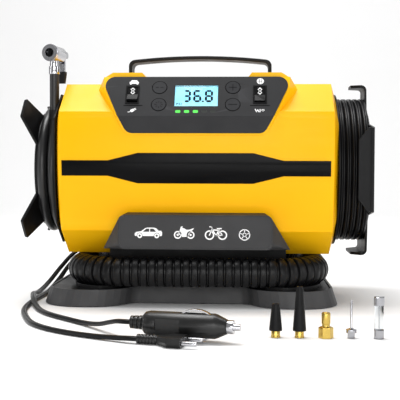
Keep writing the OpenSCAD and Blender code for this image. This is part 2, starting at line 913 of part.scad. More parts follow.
hose_path = concat(
    [for (a = [lead_angle - 14:-360 / loop_rings:leave_angle]) hose_point(a)],
    [hose_point(leave_angle)],
    [
        [hose_x[0] + 0.1, chuck[1] - 2.4, axis_z + 28.5],
        [hose_x[0] + 0.3, chuck[1] - 0.7, axis_z + 36],
        [hose_x[0] + 0.5, chuck[1], axis_z + 44],
        [chuck[0], chuck[1], axis_z + 60],
        [chuck[0], chuck[1], stem_z]
    ]
);

module air_hose() {
    echo(hose_length = round(path_length(hose_path)),
         hose_gap = min(hose_x[0] - hose_x[1], hose_r - hub_r) - hose_d);
    color([0.1, 0.1, 0.1])
        tube(hose_path, [hose_d / 2, hose_d / 2], 6, [1, 0, 0]);
}

// Elbow that brings the air from the casing to the hose
module hose_outlet() {
    turn = [0, sin(lead_angle), -cos(lead_angle)];
    color("silver")
        difference() {
            union() {
                rod_x([hose_x[1], outlet_y, outlet_z], outlet_r - 0.6, -end_x + 12 - hose_x[1]);
                rod_x([-end_x + wall + 0.1, outlet_y, outlet_z], outlet_r + 2, 3);
                translate([hose_x[1], outlet_y, outlet_z]) {
                    sphere(r = outlet_r);
                    rotate([-90 - (90 - lead_angle), 0, 0]) cylinder(r = outlet_r - 0.4, h = 9);
                }
            }
            rod_x([hose_x[1] + 6, outlet_y, outlet_z], 2, 60);
        }
}

// ---------------------------------------------------------------- air chuck

head_r = 7.2;
lever_y = head_len / 2 + 3.3;
lever_pin_r = 1.3;

// Puts children in the head's frame: its mouth faces -Y, its hinge's pin lies along X
module chuck_frame() {
    translate(chuck) rotate([0, 0, -12]) children();
}

module chuck_body() {
    color("silver")
        chuck_frame()
            difference() {
                union() {
                    rod_y([0, -head_len / 2, 0], head_r, head_len);
                    rod_y([0, -head_len / 2 + 1.5, 0], head_r + 0.5, 2);
                    rod_z([0, 0, -18], 4.15, 18);
                    rod_z([0, 0, -18.4], 5, 7);
                    for (side = [-1, 1])
                        hull() {
                            block([min(side * 4.2, side * 6.2), head_len / 2 - 3, -3.4],
                                  [max(side * 4.2, side * 6.2), head_len / 2 - 2, 3.4]);
                            rod_x([side > 0 ? 4.2 : -6.2, lever_y, 0], 3, 2);
                        }
                    rod_x([-5, lever_y, 0], lever_pin_r, 10);
                }
                rod_y([0, -head_len / 2 - 1, 0], valve_r, 10);
                rod_y([0, -head_len / 2 + 8.9, 0], 6.2, 4.1);
                rod_y([0, 0, 0], 2, 7);
                rod_z([0, 0, -19], 1.6, 19);
            }
}

module chuck_seal() {
    color([0.1, 0.1, 0.1])
        chuck_frame()
            difference() {
                rod_y([0, -head_len / 2 + 9, 0], 6.15, 3.9);
                rod_y([0, -head_len / 2 + 8, 0], 2.6, 6);
            }
}

module chuck_lever() {
    color("silver")
        chuck_frame()
            translate([0, lever_y, 0])
                difference() {
                    union() {
                        rod_x([-3.9, 0, 0], 3, 7.8);
                        block([-3.6, 0.2, -17], [3.6, 2.6, 0]);
                        hull() {
                            block([-4.2, -0.4, -17], [4.2, 3.2, -16]);
                            block([-3, 0.8, -25], [3, 3.6, -24]);
                        }
                    }
                    rod_x([-5, 0, 0], lever_pin_r + run_gap, 10);
                }
}

// ---------------------------------------------------------------- handle

crown_z = pad_z + handle_rise;
crown_r = 560;
stop_h = 4;
leg_z = top_z - wall - handle_lift - stop_h - 0.4;

module handle_outline(inset) {
    offset(r = 6 - inset / 2, $fn = 48) offset(delta = -6 - inset / 2)
        intersection() {
            translate([-handle_w / 2, leg_z - 20]) square([handle_w, crown_z - leg_z + 30]);
            translate([0, crown_z - crown_r]) circle(r = crown_r, $fn = 360);
        }
}

module handle_strap() {
    color([0.1, 0.1, 0.1])
        translate([0, strap_d / 2, 0])
            rotate([90, 0, 0])
                linear_extrude(height = strap_d)
                    difference() {
                        union() {
                            handle_outline(0);
                            for (side = [-1, 1])
                                translate([side * (slot_x + strap_t / 2), leg_z + stop_h / 2])
                                    square([strap_t, stop_h], center = true);
                        }
                        handle_outline(strap_t);
                        translate([-reach / 2, leg_z - reach]) square([reach, reach]);
                    }
}

// ---------------------------------------------------------------- cord reel

winding_x = end_x + 1.25 + 0.3 + cord_w / 2;
cord_pitch = cord_w + 0.45;
cord_r = (cord_core_r + 0.3) / cos(180 / loop_rings) + cord_t / 2;
cord_face_x = winding_x + 4 * cord_pitch + cord_w / 2 + 0.3;
cord_plate_t = 2;
flap_t = 2.6;
flap_x = cord_face_x + cord_plate_t - 14;

// Section through one ear: the plate, a rounded corner and the flap that turns inwards
module ear_section() {
    x1 = cord_face_x + cord_plate_t;
    intersection() {
        difference() {
            translate([x1 - 60, cord_ear_r - 60]) rounded_corner(60, 5);
            translate([x1 - 60 - cord_plate_t, cord_ear_r - 60 - flap_t]) rounded_corner(60, 3);
        }
        translate([flap_x, cord_ear_r - 36]) square([60, 60]);
    }
}
module rounded_corner(size, r) {
    offset(r = r, $fn = 32) square([size - r, size - r]);
}

module cord_ear(angle, half) {
    rotate([angle, 0, 0])
        intersection() {
            rotate([90, 0, 0])
                translate([0, 0, -50])
                    linear_extrude(height = 100) ear_section();
            rotate([90, 0, 90])
                linear_extrude(height = reach)
                    polygon([
                        [-half - 6, 30], [-half, cord_ear_r + 1],
                        [half, cord_ear_r + 1], [half + 6, 30]
                    ]);
            linear_extrude(height = reach)
                polygon([
                    [flap_x, -half * 0.7], [flap_x + 8, -half], [flap_x + 9, -60], [reach, -60],
                    [reach, 60], [flap_x + 9, 60], [flap_x + 8, half], [flap_x, half * 0.7]
                ]);
        }
}

module cord_reel() {
    color([0.08, 0.08, 0.08])
        translate([0, 0, axis_z])
            difference() {
                union() {
                    rod_x([end_x + 0.02, 0, 0], 70, 1.23);
                    rod_x([end_x + 1, 0, 0], cord_core_r, cord_face_x - end_x - 0.9);
                    rod_x([cord_face_x, 0, 0], cord_core_r - 6, cord_plate_t);
                    cord_ear(0, 14);
                    cord_ear(180, 28);
                    for (a = [90, 270]) cord_ear(a, 36);
                }
                rod_x([end_x - 1, 0, 0], cord_core_r - 3, cord_face_x - end_x - 2);
                rod_x([cord_face_x - 4, 0, 0], 14, 20);
            }
}

// A cord's outer layer: each turn is square to the axis with a step to the next at its end,
// and the last one lifts off over the turn below it
function wind_point(t, first, turns) =
    let (
        step = smooth((t - floor(t) - 0.84) / 0.16),
        lane = min(floor(t) + step, turns - 1),
        a = -360 * t,
        r = cord_r + (cord_t + 0.5) * smooth((t - turns + 0.16) / 0.16)
    )
    [winding_x + (first + lane) * cord_pitch, r * cos(a), axis_z + r * sin(a)];

function wind_path(first, turns) =
    let (
        path = [for (i = [0:turns * loop_rings]) wind_point(i / loop_rings, first, turns)],
        out = [0, 0, -cord_w]
    )
    concat([path[0] - out], path, [path[len(path) - 1] + out]);

module cord_winding(first, turns) {
    path = wind_path(first, turns);
    echo(winding_length = round(path_length(path)), winding_gap = cord_pitch - cord_w);
    color([0.07, 0.07, 0.07])
        skin([for (i = [0:len(path) - 1])
            ring(path[i], tangent(path, i), [1, 0, 0], [cord_w / 2, cord_t / 2], 6)]);
}

module dc_cord_winding() {
    cord_winding(0, 3);
}
module ac_cord_winding() {
    cord_winding(3, 2);
}

// ---------------------------------------------------------------- cords on the floor

dc_plug = [-37, -222, 11.5];
dc_turn = -13;
ac_plug = [-30, -243, 3.5];
ac_turn = -13;

function path_length(path) =
    len(path) < 2 ? 0 : sum([for (i = [1:len(path) - 1]) norm(path[i] - path[i - 1])]);
function sum(v) = v * [for (x = v) 1];

// A smooth path through points, with a number of steps between each pair
function smooth_path(p, steps) =
    let (n = len(p))
    concat(
        [for (i = [0:n - 2]) for (k = [0:steps - 1])
            let (
                t = k / steps,
                a = p[max(i - 1, 0)], b = p[i], c = p[i + 1], d = p[min(i + 2, n - 1)]
            )
            0.5 * (2 * b + t * (c - a) + t * t * (2 * a - 5 * b + 4 * c - d)
                   + t * t * t * (3 * b - a - 3 * c + d))],
        [p[n - 1]]
    );

dc_start = wind_point(3, 0, 3) - [0, 0, cord_w + 0.3];
ac_start = wind_point(2, 3, 2) - [0, 0, cord_w + 0.3];

dc_route = [
    dc_start, [138, 68, 100], [135, 69.5, 86], [129, 73.5, 71], [119, 77, 57], [107, 79, 49],
    [92, 79.5, 46], [40, 79.5, 45.5], [-40, 79.5, 45.5], [-84, 79.5, 45.5], [-102, 78, 45],
    [-119, 71.5, 42], [-133, 60, 33], [-143, 48, 21], [-150, 33, 10], [-153, 12, 4.2],
    [-153, -12, 3], [-151, -38, 5.5], [-147, -57, 6], [-142, -76, 5.5], [-136, -93, 3],
    [-127, -114, 1.9], [-115, -134, 1.9], [-98, -154, 1.9], [-80, -174, 2.2], [-66, -192, 4.5],
    [-56, -205, 8], [-49, -214, 10.5], [-43, -220, 11.4], dc_plug
];

ac_route = [
    ac_start, [148.5, 67.5, 100], [147, 68, 86], [140, 69, 71], [129, 70.5, 58],
    [114, 71.8, 49], [96, 72, 46], [40, 72, 45.5], [-40, 72, 45.5], [-80, 72, 45.5],
    [-98, 71, 45], [-112, 64, 42], [-124, 54, 34], [-134, 43, 23], [-140, 27, 12],
    [-144, 7, 4.5], [-145, -14, 2.1], [-146, -40, 1.9], [-146, -62, 1.9], [-145, -86, 1.9],
    [-141, -114, 1.9], [-133, -142, 1.9], [-121, -173, 1.9], [-106, -195, 1.9],
    [-86, -213, 1.9], [-64, -227, 2.1], [-46, -236.5, 2.8], ac_plug + [-6, 1.4, 0], ac_plug
];

module cord_run(route) {
    path = smooth_path(route, 2);
    turn_over = 10;
    echo(run_length = round(path_length(path)));
    color([0.07, 0.07, 0.07])
        skin([for (i = [0:len(path) - 1])
            ring(path[i], tangent(path, i),
                 unit([0, clamp01(1 - i / turn_over), clamp01(i / turn_over)]),
                 [cord_t / 2, cord_w / 2], 8)]);
}

module dc_cord_run() {
    cord_run(dc_route);
}
module ac_cord_run() {
    cord_run(ac_route);
}

// ---------------------------------------------------------------- plugs

dc_body_r = 8.8;
dc_body_len = 61;
contact_rise = 11.45; // reach of the side contacts from the plug's axis
pin_travel = 3;

// Puts children on a plug's axis: X runs from the cord towards the plug's tip
module on_plug(p, turn) {
    translate(p) rotate([0, 0, turn]) children();
}

module strain_reliefs() {
    color([0.08, 0.08, 0.08]) {
        on_plug(dc_plug, dc_turn)
            for (i = [0:2]) {
                rod_x([i * 3.2, 0, 0], 4.6 + 0.2 * i, 2.2);
                rod_x([i * 3.2, 0, 0], 3.7, 3.3);
            }
        on_plug(ac_plug, ac_turn)
            for (i = [0:5]) {
                rod_x([i * 2.4, 0, 0], 3.4, 1.5);
                rod_x([i * 2.4, 0, 0], 2.8, 2.4);
            }
    }
}

module dc_plug_body() {
    color([0.1, 0.1, 0.1])
        on_plug(dc_plug, dc_turn)
            difference() {
                translate([9.7, 0, 0])
                    rotate([0, 90, 0])
                        rotate_extrude()
                            polygon([
                                [0, 0], [6.2, 0], [8, 1.6], [dc_body_r, 5], [dc_body_r, 52],
                                [8.2, 54], [5, dc_body_len], [0, dc_body_len]
                            ]);
                rod_x([9.7 + 30, 0, 0], 4.2, dc_body_len);
                for (side = [-1, 1])
                    block([20, side * dc_body_r - 1.2, -6], [38, side * dc_body_r + 1.2, 6]);
                for (side = [-1, 1])
                    block([36, -2.4, side * dc_body_r - 2.6], [60, 2.4, side * dc_body_r + 2.6]);
            }
}

// The plug's sprung centre pin
module dc_plug_tip() {
    color("silver")
        on_plug(dc_plug, dc_turn) {
            rod_x([9.7 + 50, 0, 0], 4.1, 5);
            rod_x([9.7 + 50, 0, 0], 2.4, 20);
        }
}

// The plug's end collar and its two side contacts
module dc_plug_metal() {
    color("silver")
        on_plug(dc_plug, dc_turn) {
            difference() {
                rod_x([9.7 + dc_body_len - 3.4, 0, 0], 4.18, 3.42);
                rod_x([9.7 + dc_body_len - 5, 0, 0], 2.4 + run_gap, 20);
            }
            difference() {
                rod_x([9.7 + dc_body_len + 0.02, 0, 0], 4.8, 4.5);
                rod_x([9.7 + dc_body_len - 1, 0, 0], 2.4 + run_gap, 20);
            }
            for (side = [-1, 1])
                translate([48, 2, 0])
                    rotate([90, 0, 0])
                        linear_extrude(height = 4)
                            intersection() {
                                translate([0, side * (contact_rise - 19)])
                                    difference() {
                                        circle(r = 19);
                                        circle(r = 18);
                                    }
                                translate([0, side * 12]) square([23, 12], center = true);
                            }
        }
}

ac_head_x = 14.5;
ac_head_len = 19;
ac_pin_gap = 15;

module ac_plug_body() {
    color([0.12, 0.12, 0.12])
        on_plug(ac_plug, ac_turn)
            hull() {
                rod_x([ac_head_x, 0, 0], 3, 1, $fn = 32);
                translate([ac_head_x + 9, 0, 0])
                    rotate([90, 0, 90])
                        linear_extrude(height = ac_head_len - 9)
                            polygon([[-11, 0], [-8.5, -3.4], [8.5, -3.4], [11, 0],
                                     [8.5, 3.4], [-8.5, 3.4]]);
            }
}

module ac_plug_pins() {
    color("silver")
        on_plug(ac_plug, ac_turn)
            for (side = [-1, 1])
                rod_x([ac_head_x + ac_head_len + 0.02, side * ac_pin_gap / 2, 0], 1.6, 11);
}

// ---------------------------------------------------------------- compressor

motor_z = axis_z - 32;
plate_x = -36.5;
plate_t = 3.5;
gear_x = plate_x + plate_t + 0.5;
gear_w = 6;
crank_z = motor_z + (gear_teeth + pinion_teeth) / 2 + 0.15;
cylinder_x = -17.5;
cylinder_z = crank_z + gear_teeth / 2 + 2.8;
piston_z = cylinder_z + 2;
piston_len = 24;
piston_wall = 2;
cylinder_top = piston_z + piston_len + 2 * crank_throw + 2;
shaft_r = 2;
crank_shaft_r = 3;
crank_pin_r = 2.5;

// A spur gear's outline of module 1 mm, with a tooth at an angle
module gear_outline(teeth, at) {
    pitch = 360 / teeth;
    points = [
        for (i = [0:teeth - 1])
            for (q = [[-0.27, -1.3], [-0.11, 0.8], [0.11, 0.8], [0.27, -1.3]])
                let (a = at + (i + q[0]) * pitch, r = teeth / 2 + q[1])
                [r * cos(a), r * sin(a)]
    ];
    polygon(points);
}

module motor_can() {
    color("silver")
        difference() {
            rod_x([plate_x - 61.5, 0, motor_z], motor_r, 61.5);
            rod_x([plate_x - 59, 0, motor_z], motor_r - 2, 56.5);
            rod_x([plate_x - 70, 0, motor_z], shaft_r + run_gap, 80);
        }
}

module armature() {
    color("peru")
        translate([0, 0, motor_z]) {
            rod_x([plate_x - 65, 0, 0], shaft_r, 65 + plate_t + 0.5 + gear_w + 2);
            difference() {
                rod_x([plate_x - 50, 0, 0], motor_r - 3.5, 36);
                for (i = [0:4])
                    rotate([72 * i, 0, 0])
                        block([plate_x - 60, -1.5, 8], [plate_x, 1.5, motor_r]);
            }
            rod_x([plate_x - 12, 0, 0], 7, 8);
            translate([gear_x, 0, 0])
                rotate([90, 0, 90])
                    linear_extrude(height = gear_w) gear_outline(pinion_teeth, 90);
        }
}

module compressor_frame() {
    color("gray")
        difference() {
            union() {
                block([plate_x, -24, floor_z + 0.02], [plate_x + plate_t, 24, cylinder_top - 4]);
                block([plate_x - 58, -20, floor_z + 0.02], [plate_x + 1, 20, floor_z + 4]);
                for (x = [plate_x - 56, plate_x - 18])
                    block([x, -18, floor_z + 2], [x + 10, 18, motor_z - 12]);
            }
            rod_x([plate_x - 70, 0, motor_z], motor_r + 0.02, 70);
            rod_x([plate_x - 1, 0, motor_z], shaft_r + 0.6, 10);
            rod_x([plate_x - 1, 0, crank_z], crank_shaft_r + run_gap, 10);
        }
}

module crank_gear() {
    color("dimgray")
        translate([0, 0, crank_z]) {
            rod_x([plate_x + 0.1, 0, 0], crank_shaft_r, gear_x + 1 - plate_x);
            translate([gear_x, 0, 0])
                rotate([90, 0, 90])
                    linear_extrude(height = gear_w)
                        gear_outline(gear_teeth, -90 + 180 / gear_teeth);
            rod_x([gear_x + 1, 0, -crank_throw], crank_pin_r, 20);
        }
}

rod_w = 5;
small_end = 34.4;

module con_rod() {
    color("lightgray")
        translate([cylinder_x - rod_w / 2, 0, crank_z - crank_throw])
            rotate([90, 0, 90])
                linear_extrude(height = rod_w)
                    difference() {
                        union() {
                            circle(r = 4.8);
                            translate([-2.2, 0]) square([4.4, small_end]);
                            translate([0, small_end]) circle(r = 3.4);
                        }
                        circle(r = crank_pin_r + run_gap);
                    }
}

module piston() {
    color("gainsboro")
        translate([cylinder_x, 0, piston_z])
            difference() {
                cylinder(r = bore_r - run_gap, h = piston_len);
                translate([0, 0, -1])
                    cylinder(r = bore_r - run_gap - piston_wall, h = piston_len - 2.5);
            }
}

module cylinder_head_fins() {
    for (i = [0:3])
        translate([cylinder_x, 0, cylinder_z + 12 + 5 * i])
            linear_extrude(height = 1.6) rounded_rect(30, 40, 5);
}

module pump_cylinder() {
    color("lightsteelblue")
        difference() {
            union() {
                rod_z([cylinder_x, 0, cylinder_z], bore_r + 3, cylinder_top - cylinder_z);
                cylinder_head_fins();
                block([plate_x + plate_t + 0.02, -15, cylinder_z + 1],
                      [cylinder_x, 15, cylinder_z + 5]);
                block([plate_x + plate_t + 0.02, -15, cylinder_top - 8],
                      [cylinder_x, 15, cylinder_top]);
                rod_z([cylinder_x, 0, cylinder_top - 1], bore_r + 3, 9);
                rod_x([cylinder_x - bore_r - 5, 0, cylinder_top + 4], 3.6, 10);
            }
            rod_z([cylinder_x, 0, cylinder_z - 1], bore_r, cylinder_top - cylinder_z + 1);
            rod_z([cylinder_x, 0, cylinder_z], 1.5, cylinder_top - cylinder_z + 4);
            rod_x([cylinder_x - bore_r - 9, 0, cylinder_top + 4], 1.5, bore_r + 9);
        }
}

module air_tube() {
    start = [cylinder_x - bore_r - 5.3, 0, cylinder_top + 4];
    finish = [-end_x + 12.4, outlet_y, outlet_z];
    color([0.2, 0.2, 0.2])
        tube(smooth_path([
            start, start - [6, -1.5, 0.6], start - [16, -8, 7], [-66, 16, axis_z + 43],
            [-86, 18, axis_z + 36], finish + [9, 0, 0.4], finish
        ], 3), [2.6, 2.6], 8, [0, 0.3, 1]);
}

// ---------------------------------------------------------------- blower

blower = deflate_port;
volute_y = 30;
volute_d = 28;
volute_r = 39;
volute_wall = 2;

module volute_body(inset) {
    half = pipe_r - inset;
    rod_y([blower[0], volute_y + inset, blower[1]], volute_r - inset, volute_d - 2 * inset);
    block([blower[0] + 10, volute_y + inset, inflate_port[1] - half],
          [inflate_port[0] + half, volute_y + volute_d - inset, inflate_port[1] + half]);
}

module volute() {
    color([0.75, 0.75, 0.72])
        difference() {
            volute_body(0);
            volute_body(volute_wall);
            rod_y([blower[0], volute_y - 1, blower[1]], 3, 10);
            for (p = [deflate_port, inflate_port])
                rod_y([p[0], volute_y + volute_d - 5, p[1]], port_r, 10);
        }
}

module impeller() {
    depth = 17;
    color("white")
        translate([blower[0], volute_y + volute_wall + 2, blower[1]])
            difference() {
                union() {
                    rod_y([0, 0, 0], 34, 1.6);
                    rod_y([0, 0, 0], 6, depth);
                    for (i = [0:11])
                        rotate([0, 30 * i, 0])
                            translate([14, 0.8, 0])
                                rotate([0, 28, 0])
                                    translate([0, 0, -0.8]) cube([18, depth - 0.8, 1.6]);
                    rod_y([0, -20, 0], 2, 21);
                }
                rod_y([0, 3, 0], 2.5, 30);
            }
}

module blower_motor() {
    color("silver")
        difference() {
            union() {
                rod_y([blower[0], -14, blower[1]], 19, volute_y - 0.02 + 14);
                rod_y([blower[0], volute_y - 2.02, blower[1]], 24, 2);
            }
            rod_y([blower[0], -4, blower[1]], 2 + run_gap, 60);
        }
}

module power_supply() {
    color("dimgray")
        difference() {
            block([20, -30, floor_z + 0.02], [100, 30, floor_z + 26]);
            for (i = [0:8])
                block([26 + 8 * i, -40, floor_z + 8], [29 + 8 * i, 40, floor_z + 22]);
        }
}

// ---------------------------------------------------------------- loose nozzles

nozzle_y = -212;
nozzle_x = [65.7, 82.7, 101.5, 119.5, 139.1];
nozzle_seat = 5;     // height of the cone nozzles' undersides above their collars' ends

// A body of revolution standing at a place, from [radius, height] points, with a bore
module turned(x, points, bore, sides = 64) {
    translate([x, nozzle_y, 0])
        difference() {
            rotate_extrude($fn = sides) polygon(points[0][0] > 0 ? concat([[0, 0]], points) : points);
            if (bore > 0) rod_z([0, 0, -1], bore, 80);
        }
}

module cone_nozzles() {
    color([0.08, 0.08, 0.08])
        difference() {
            union() {
                turned(nozzle_x[0], [
                    [0, nozzle_seat], [4.7, nozzle_seat], [4.7, nozzle_seat + 1.2], [3, 22.6],
                    [2.6, 24.2], [0, 24.2]
                ], 1.5);
                turned(nozzle_x[1], [
                    [0, nozzle_seat], [4.8, nozzle_seat], [4.8, nozzle_seat + 1.4], [2.6, 34.6],
                    [2, 36.8], [0, 36.8]
                ], 1.4);
            }
            for (x = [nozzle_x[0], nozzle_x[1]])
                rod_z([x, nozzle_y, nozzle_seat - 1], 2.6, 5.05);
        }
}

// The hexagonal valve adapter, and the collar that each cone nozzle screws on with
module brass_adapters() {
    color([0.85, 0.65, 0.2]) {
        for (x = [nozzle_x[0], nozzle_x[1]])
            turned(x, [
                [3.4, 0], [3.4, 1], [3.2, 1.2], [3.2, nozzle_seat - 0.02],
                [2.55, nozzle_seat - 0.02], [2.55, nozzle_seat + 4], [0, nozzle_seat + 4]
            ], 1.2);
        difference() {
            union() {
                turned(nozzle_x[2], [[5.4, 0], [5.4, 7.6], [4.2, 8.2], [0, 8.2]], 0, 6);
                turned(nozzle_x[2], [[2.9, 0], [2.9, 10], [3.2, 10.6], [3.2, 17.6], [2.7, 18.3],
                                     [0, 18.3]], 0);
            }
            rod_z([nozzle_x[2], nozzle_y, -1], 1.3, 30);
            rod_z([nozzle_x[2], nozzle_y, -1], 3.9, 5);
        }
    }
}

module ball_needle() {
    color("silver")
        turned(nozzle_x[3], [
            [2.6, 0], [2.6, 3.9], [3.9, 4], [3.9, 6.4], [2.2, 6.9], [0.8, 7.5], [0.8, 26.6],
            [0.55, 27.5], [0, 27.5]
        ], 0.35);
}

module spare_fuse() {
    color([0.85, 0.9, 0.95, 0.6])
        turned(nozzle_x[4], [
            [3.6, 0], [3.6, 6.4], [3.2, 6.5], [3.2, 23.5], [3.6, 23.6], [3.6, 30], [0, 30]
        ], 0);
}

// ---------------------------------------------------------------- nodes

front_shell();
rear_shell();
shell_screws();
console_pod();
control_panel();
control_board();
lcd_module();
display_window();
led_windows();
unit_button();
light_button();
plus_button();
minus_button();
power_rocker();
pump_rocker();
switch_housings();
center_stripe();
icon_housing();
icon_plate();
base_pan();
hose_cradle();
rubber_sole();
corrugated_hose();
hose_cuffs();
hose_ports();
hose_reel();
air_hose();
hose_outlet();
chuck_body();
chuck_seal();
chuck_lever();
handle_strap();
cord_reel();
dc_cord_winding();
ac_cord_winding();
dc_cord_run();
ac_cord_run();
strain_reliefs();
dc_plug_body();
dc_plug_tip();
dc_plug_metal();
ac_plug_body();
ac_plug_pins();
cone_nozzles();
brass_adapters();
ball_needle();
spare_fuse();
motor_can();
armature();
compressor_frame();
crank_gear();
con_rod();
piston();
pump_cylinder();
air_tube();
blower_motor();
impeller();
volute();
power_supply();
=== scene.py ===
import math

import bpy
from mathutils import Matrix, Vector


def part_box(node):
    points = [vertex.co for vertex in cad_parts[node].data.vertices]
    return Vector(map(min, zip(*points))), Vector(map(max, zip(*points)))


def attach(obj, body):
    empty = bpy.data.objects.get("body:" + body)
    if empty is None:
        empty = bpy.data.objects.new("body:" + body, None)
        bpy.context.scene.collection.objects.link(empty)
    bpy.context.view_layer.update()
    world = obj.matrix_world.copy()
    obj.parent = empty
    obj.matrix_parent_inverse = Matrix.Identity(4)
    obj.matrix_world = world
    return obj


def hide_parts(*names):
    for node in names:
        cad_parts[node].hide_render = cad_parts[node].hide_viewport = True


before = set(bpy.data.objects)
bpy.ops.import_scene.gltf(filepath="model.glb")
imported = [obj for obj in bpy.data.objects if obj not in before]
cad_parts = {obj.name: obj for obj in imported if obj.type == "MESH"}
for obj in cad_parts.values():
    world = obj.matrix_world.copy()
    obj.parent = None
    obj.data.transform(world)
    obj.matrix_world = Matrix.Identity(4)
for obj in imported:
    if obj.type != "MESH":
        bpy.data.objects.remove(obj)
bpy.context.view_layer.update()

BODY = "inflator"
MM = 0.001

# ------------------------------------------------------------------ sizes, in millimetres

DRUM_LEN, DRUM_H, DRUM_Z = 248.8, 153.4, 43.3   # the casing, and its height off the floor
AXIS_Z = DRUM_Z + DRUM_H / 2

# The console's face has u to the right and v up, from the middle of its crease.
CREASE = Vector((0.0, -84.0, 165.6))
LEAN = math.radians(30)
BUTTON_U, BUTTON_V = 31.9, (29.4, 11.6)
ROCKER_U, ROCKER_V = 55.3, 22.0
ROCKER_AXIS_W = -3.4                    # the rockers' axis lies behind the face
PLATE_Y = -82.1                         # front of the icon plate
FILM = 0.04                             # thickness of a printed picture

FLANGE = 1.25                           # plate of a reel on the casing's end
SEAT_GAP = 0.3                          # between what is wound and its reel
CORD_W, CORD_T = 4.8, 3.4               # flat twin flex
HOSE_D = 8.5                            # air hose

DUCT_D, DUCT_Z = 26.0, 29.96            # corrugated hose, and the height of its middle
DUCT_X, DUCT_Y, DUCT_R = 106.0, 75.0, 44.0      # half sizes and corner radius of its loop
DUCT_GAP = 26.0                         # half of the gap in the loop at the back
LEDGE_Z = 17.9                          # top of the cradle under it

# ------------------------------------------------------------------ camera

CAM_AZIMUTH, CAM_PITCH, CAM_ROLL = 3.0, 2.02, 0.2      # degrees
CAM_PLACE = (0.0450, -0.8588, 0.1210)                  # metres
FOCAL_PX, IMAGE_PX = 905.0, 400.0
SENSOR_MM = 36.0


def make_camera():
    """The photograph's viewing angle."""
    data = bpy.data.cameras.new("camera")
    data.sensor_width = SENSOR_MM
    data.lens = FOCAL_PX / IMAGE_PX * SENSOR_MM
    data.clip_start, data.clip_end = 0.01, 20
    cam = bpy.data.objects.new("camera", data)
    bpy.context.scene.collection.objects.link(cam)
    cam.matrix_world = (
        Matrix.Translation(CAM_PLACE)
        @ Matrix.Rotation(math.radians(CAM_AZIMUTH), 4, "Z")
        @ Matrix.Rotation(math.radians(90 - CAM_PITCH), 4, "X")
        @ Matrix.Rotation(math.radians(CAM_ROLL), 4, "Z")
    )
    bpy.context.scene.camera = cam


make_camera()

# ------------------------------------------------------------------ mesh helpers


def mesh_piece(name, verts, faces, material, body=BODY, smooth=True, sharp=35):
    """A mesh piece from millimetre points, which rides on a body; sharp is in degrees."""
    mesh = bpy.data.meshes.new(name)
    mesh.from_pydata([Vector(v) * MM for v in verts], [], faces)
    mesh.validate()
    mesh.update()
    obj = bpy.data.objects.new(name, mesh)
    bpy.context.scene.collection.objects.link(obj)
    mesh.materials.append(material)
    if smooth:
        mesh.polygons.foreach_set("use_smooth", [True] * len(mesh.polygons))
        mesh.set_sharp_from_angle(angle=math.radians(sharp))
    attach(obj, body)
    return obj


def skin(rings, looped=False):
    """Vertices and faces over rings of equal count, closed at its ends or into a loop."""
    count, sides = len(rings), len(rings[0])
    verts = [p for ring in rings for p in ring]
    faces = []
    for i in range(count if looped else count - 1):
        j = (i + 1) % count
        for k in range(sides):
            m = (k + 1) % sides
            faces.append((i * sides + k, i * sides + m, j * sides + m, j * sides + k))
    if not looped:
        faces.append(tuple(reversed(range(sides))))
        faces.append(tuple((count - 1) * sides + k for k in range(sides)))
    return verts, faces


def tangents(path):
    """The direction of a path at each of its points."""
    last = len(path) - 1
    return [(path[min(i + 1, last)] - path[max(i - 1, 0)]).normalized()
            for i in range(last + 1)]


def sweep(path, section, normals):
    """Sweeps section points, [across, along the normal], down a path."""
    rings = []
    for place, ahead, normal in zip(path, tangents(path), normals):
        across = ahead.cross(normal).normalized()
        up = across.cross(ahead).normalized()
        rings.append([place + across * x + up * y for x, y in section])
    return skin(rings)


def smooth_path(points, steps):
    """A Catmull-Rom curve through points, with so many steps between two of them."""
    pts = [Vector(p) for p in points]
    last, out = len(pts) - 1, []
    for i in range(last):
        a, b, c, d = pts[max(i - 1, 0)], pts[i], pts[i + 1], pts[min(i + 2, last)]
        for k in range(steps):
            t = k / steps
            out.append(0.5 * (2 * b + t * (c - a) + t * t * (2 * a - 5 * b + 4 * c - d)
                              + t ** 3 * (3 * b - a - 3 * c + d)))
    return out + [pts[-1]]


def smoothstep(t):
    """From 0 to 1 with a soft start and end."""
    t = min(1.0, max(0.0, t))
    return t * t * (3 - 2 * t)


def circle(x, y, r, steps):
    """Points round a circle."""
    angles = [2 * math.pi * k / steps for k in range(steps)]
    return [(x + r * math.cos(a), y + r * math.sin(a)) for a in angles]


def turned(profile, steps):
    """A body of revolution about Z from [radius, height] points."""
    return skin([[(x, y, z) for x, y in circle(0, 0, r, steps)] for r, z in profile])


def join(parts):
    """One pair of vertex and face lists from several."""
    verts, faces = [], []
    for part_verts, part_faces in parts:
        faces += [tuple(i + len(verts) for i in face) for face in part_faces]
        verts += [Vector(v) for v in part_verts]
    return verts, faces


def moved(part, matrix):
    verts, faces = part
    return [matrix @ Vector(v) for v in verts], faces


# ------------------------------------------------------------------ material helpers

NOISE_LOW, NOISE_HIGH = 0.3, 0.7        # the range that nearly all of a noise's values are in
EDGE_LOW, EDGE_HIGH = 0.52, 0.60        # pointiness on a flat side and on an edge with a full painted highlight
MIX_A, MIX_B, MIX_RESULT = 6, 7, 2      # the sockets that a mix has for colours


def new_material(name):
    mat = bpy.data.materials.new(name)
    mat.use_nodes = True
    tree = mat.node_tree
    return mat, tree, tree.nodes["Principled BSDF"]


def noise_of(tree, scale, detail=3.0, roughness=0.5):
    """A noise's value, at a scale in features per metre."""
    coords = tree.nodes.new("ShaderNodeTexCoord")
    noise = tree.nodes.new("ShaderNodeTexNoise")
    noise.inputs["Scale"].default_value = scale
    noise.inputs["Detail"].default_value = detail
    noise.inputs["Roughness"].default_value = roughness
    tree.links.new(coords.outputs["Object"], noise.inputs["Vector"])
    return noise.outputs["Fac"]


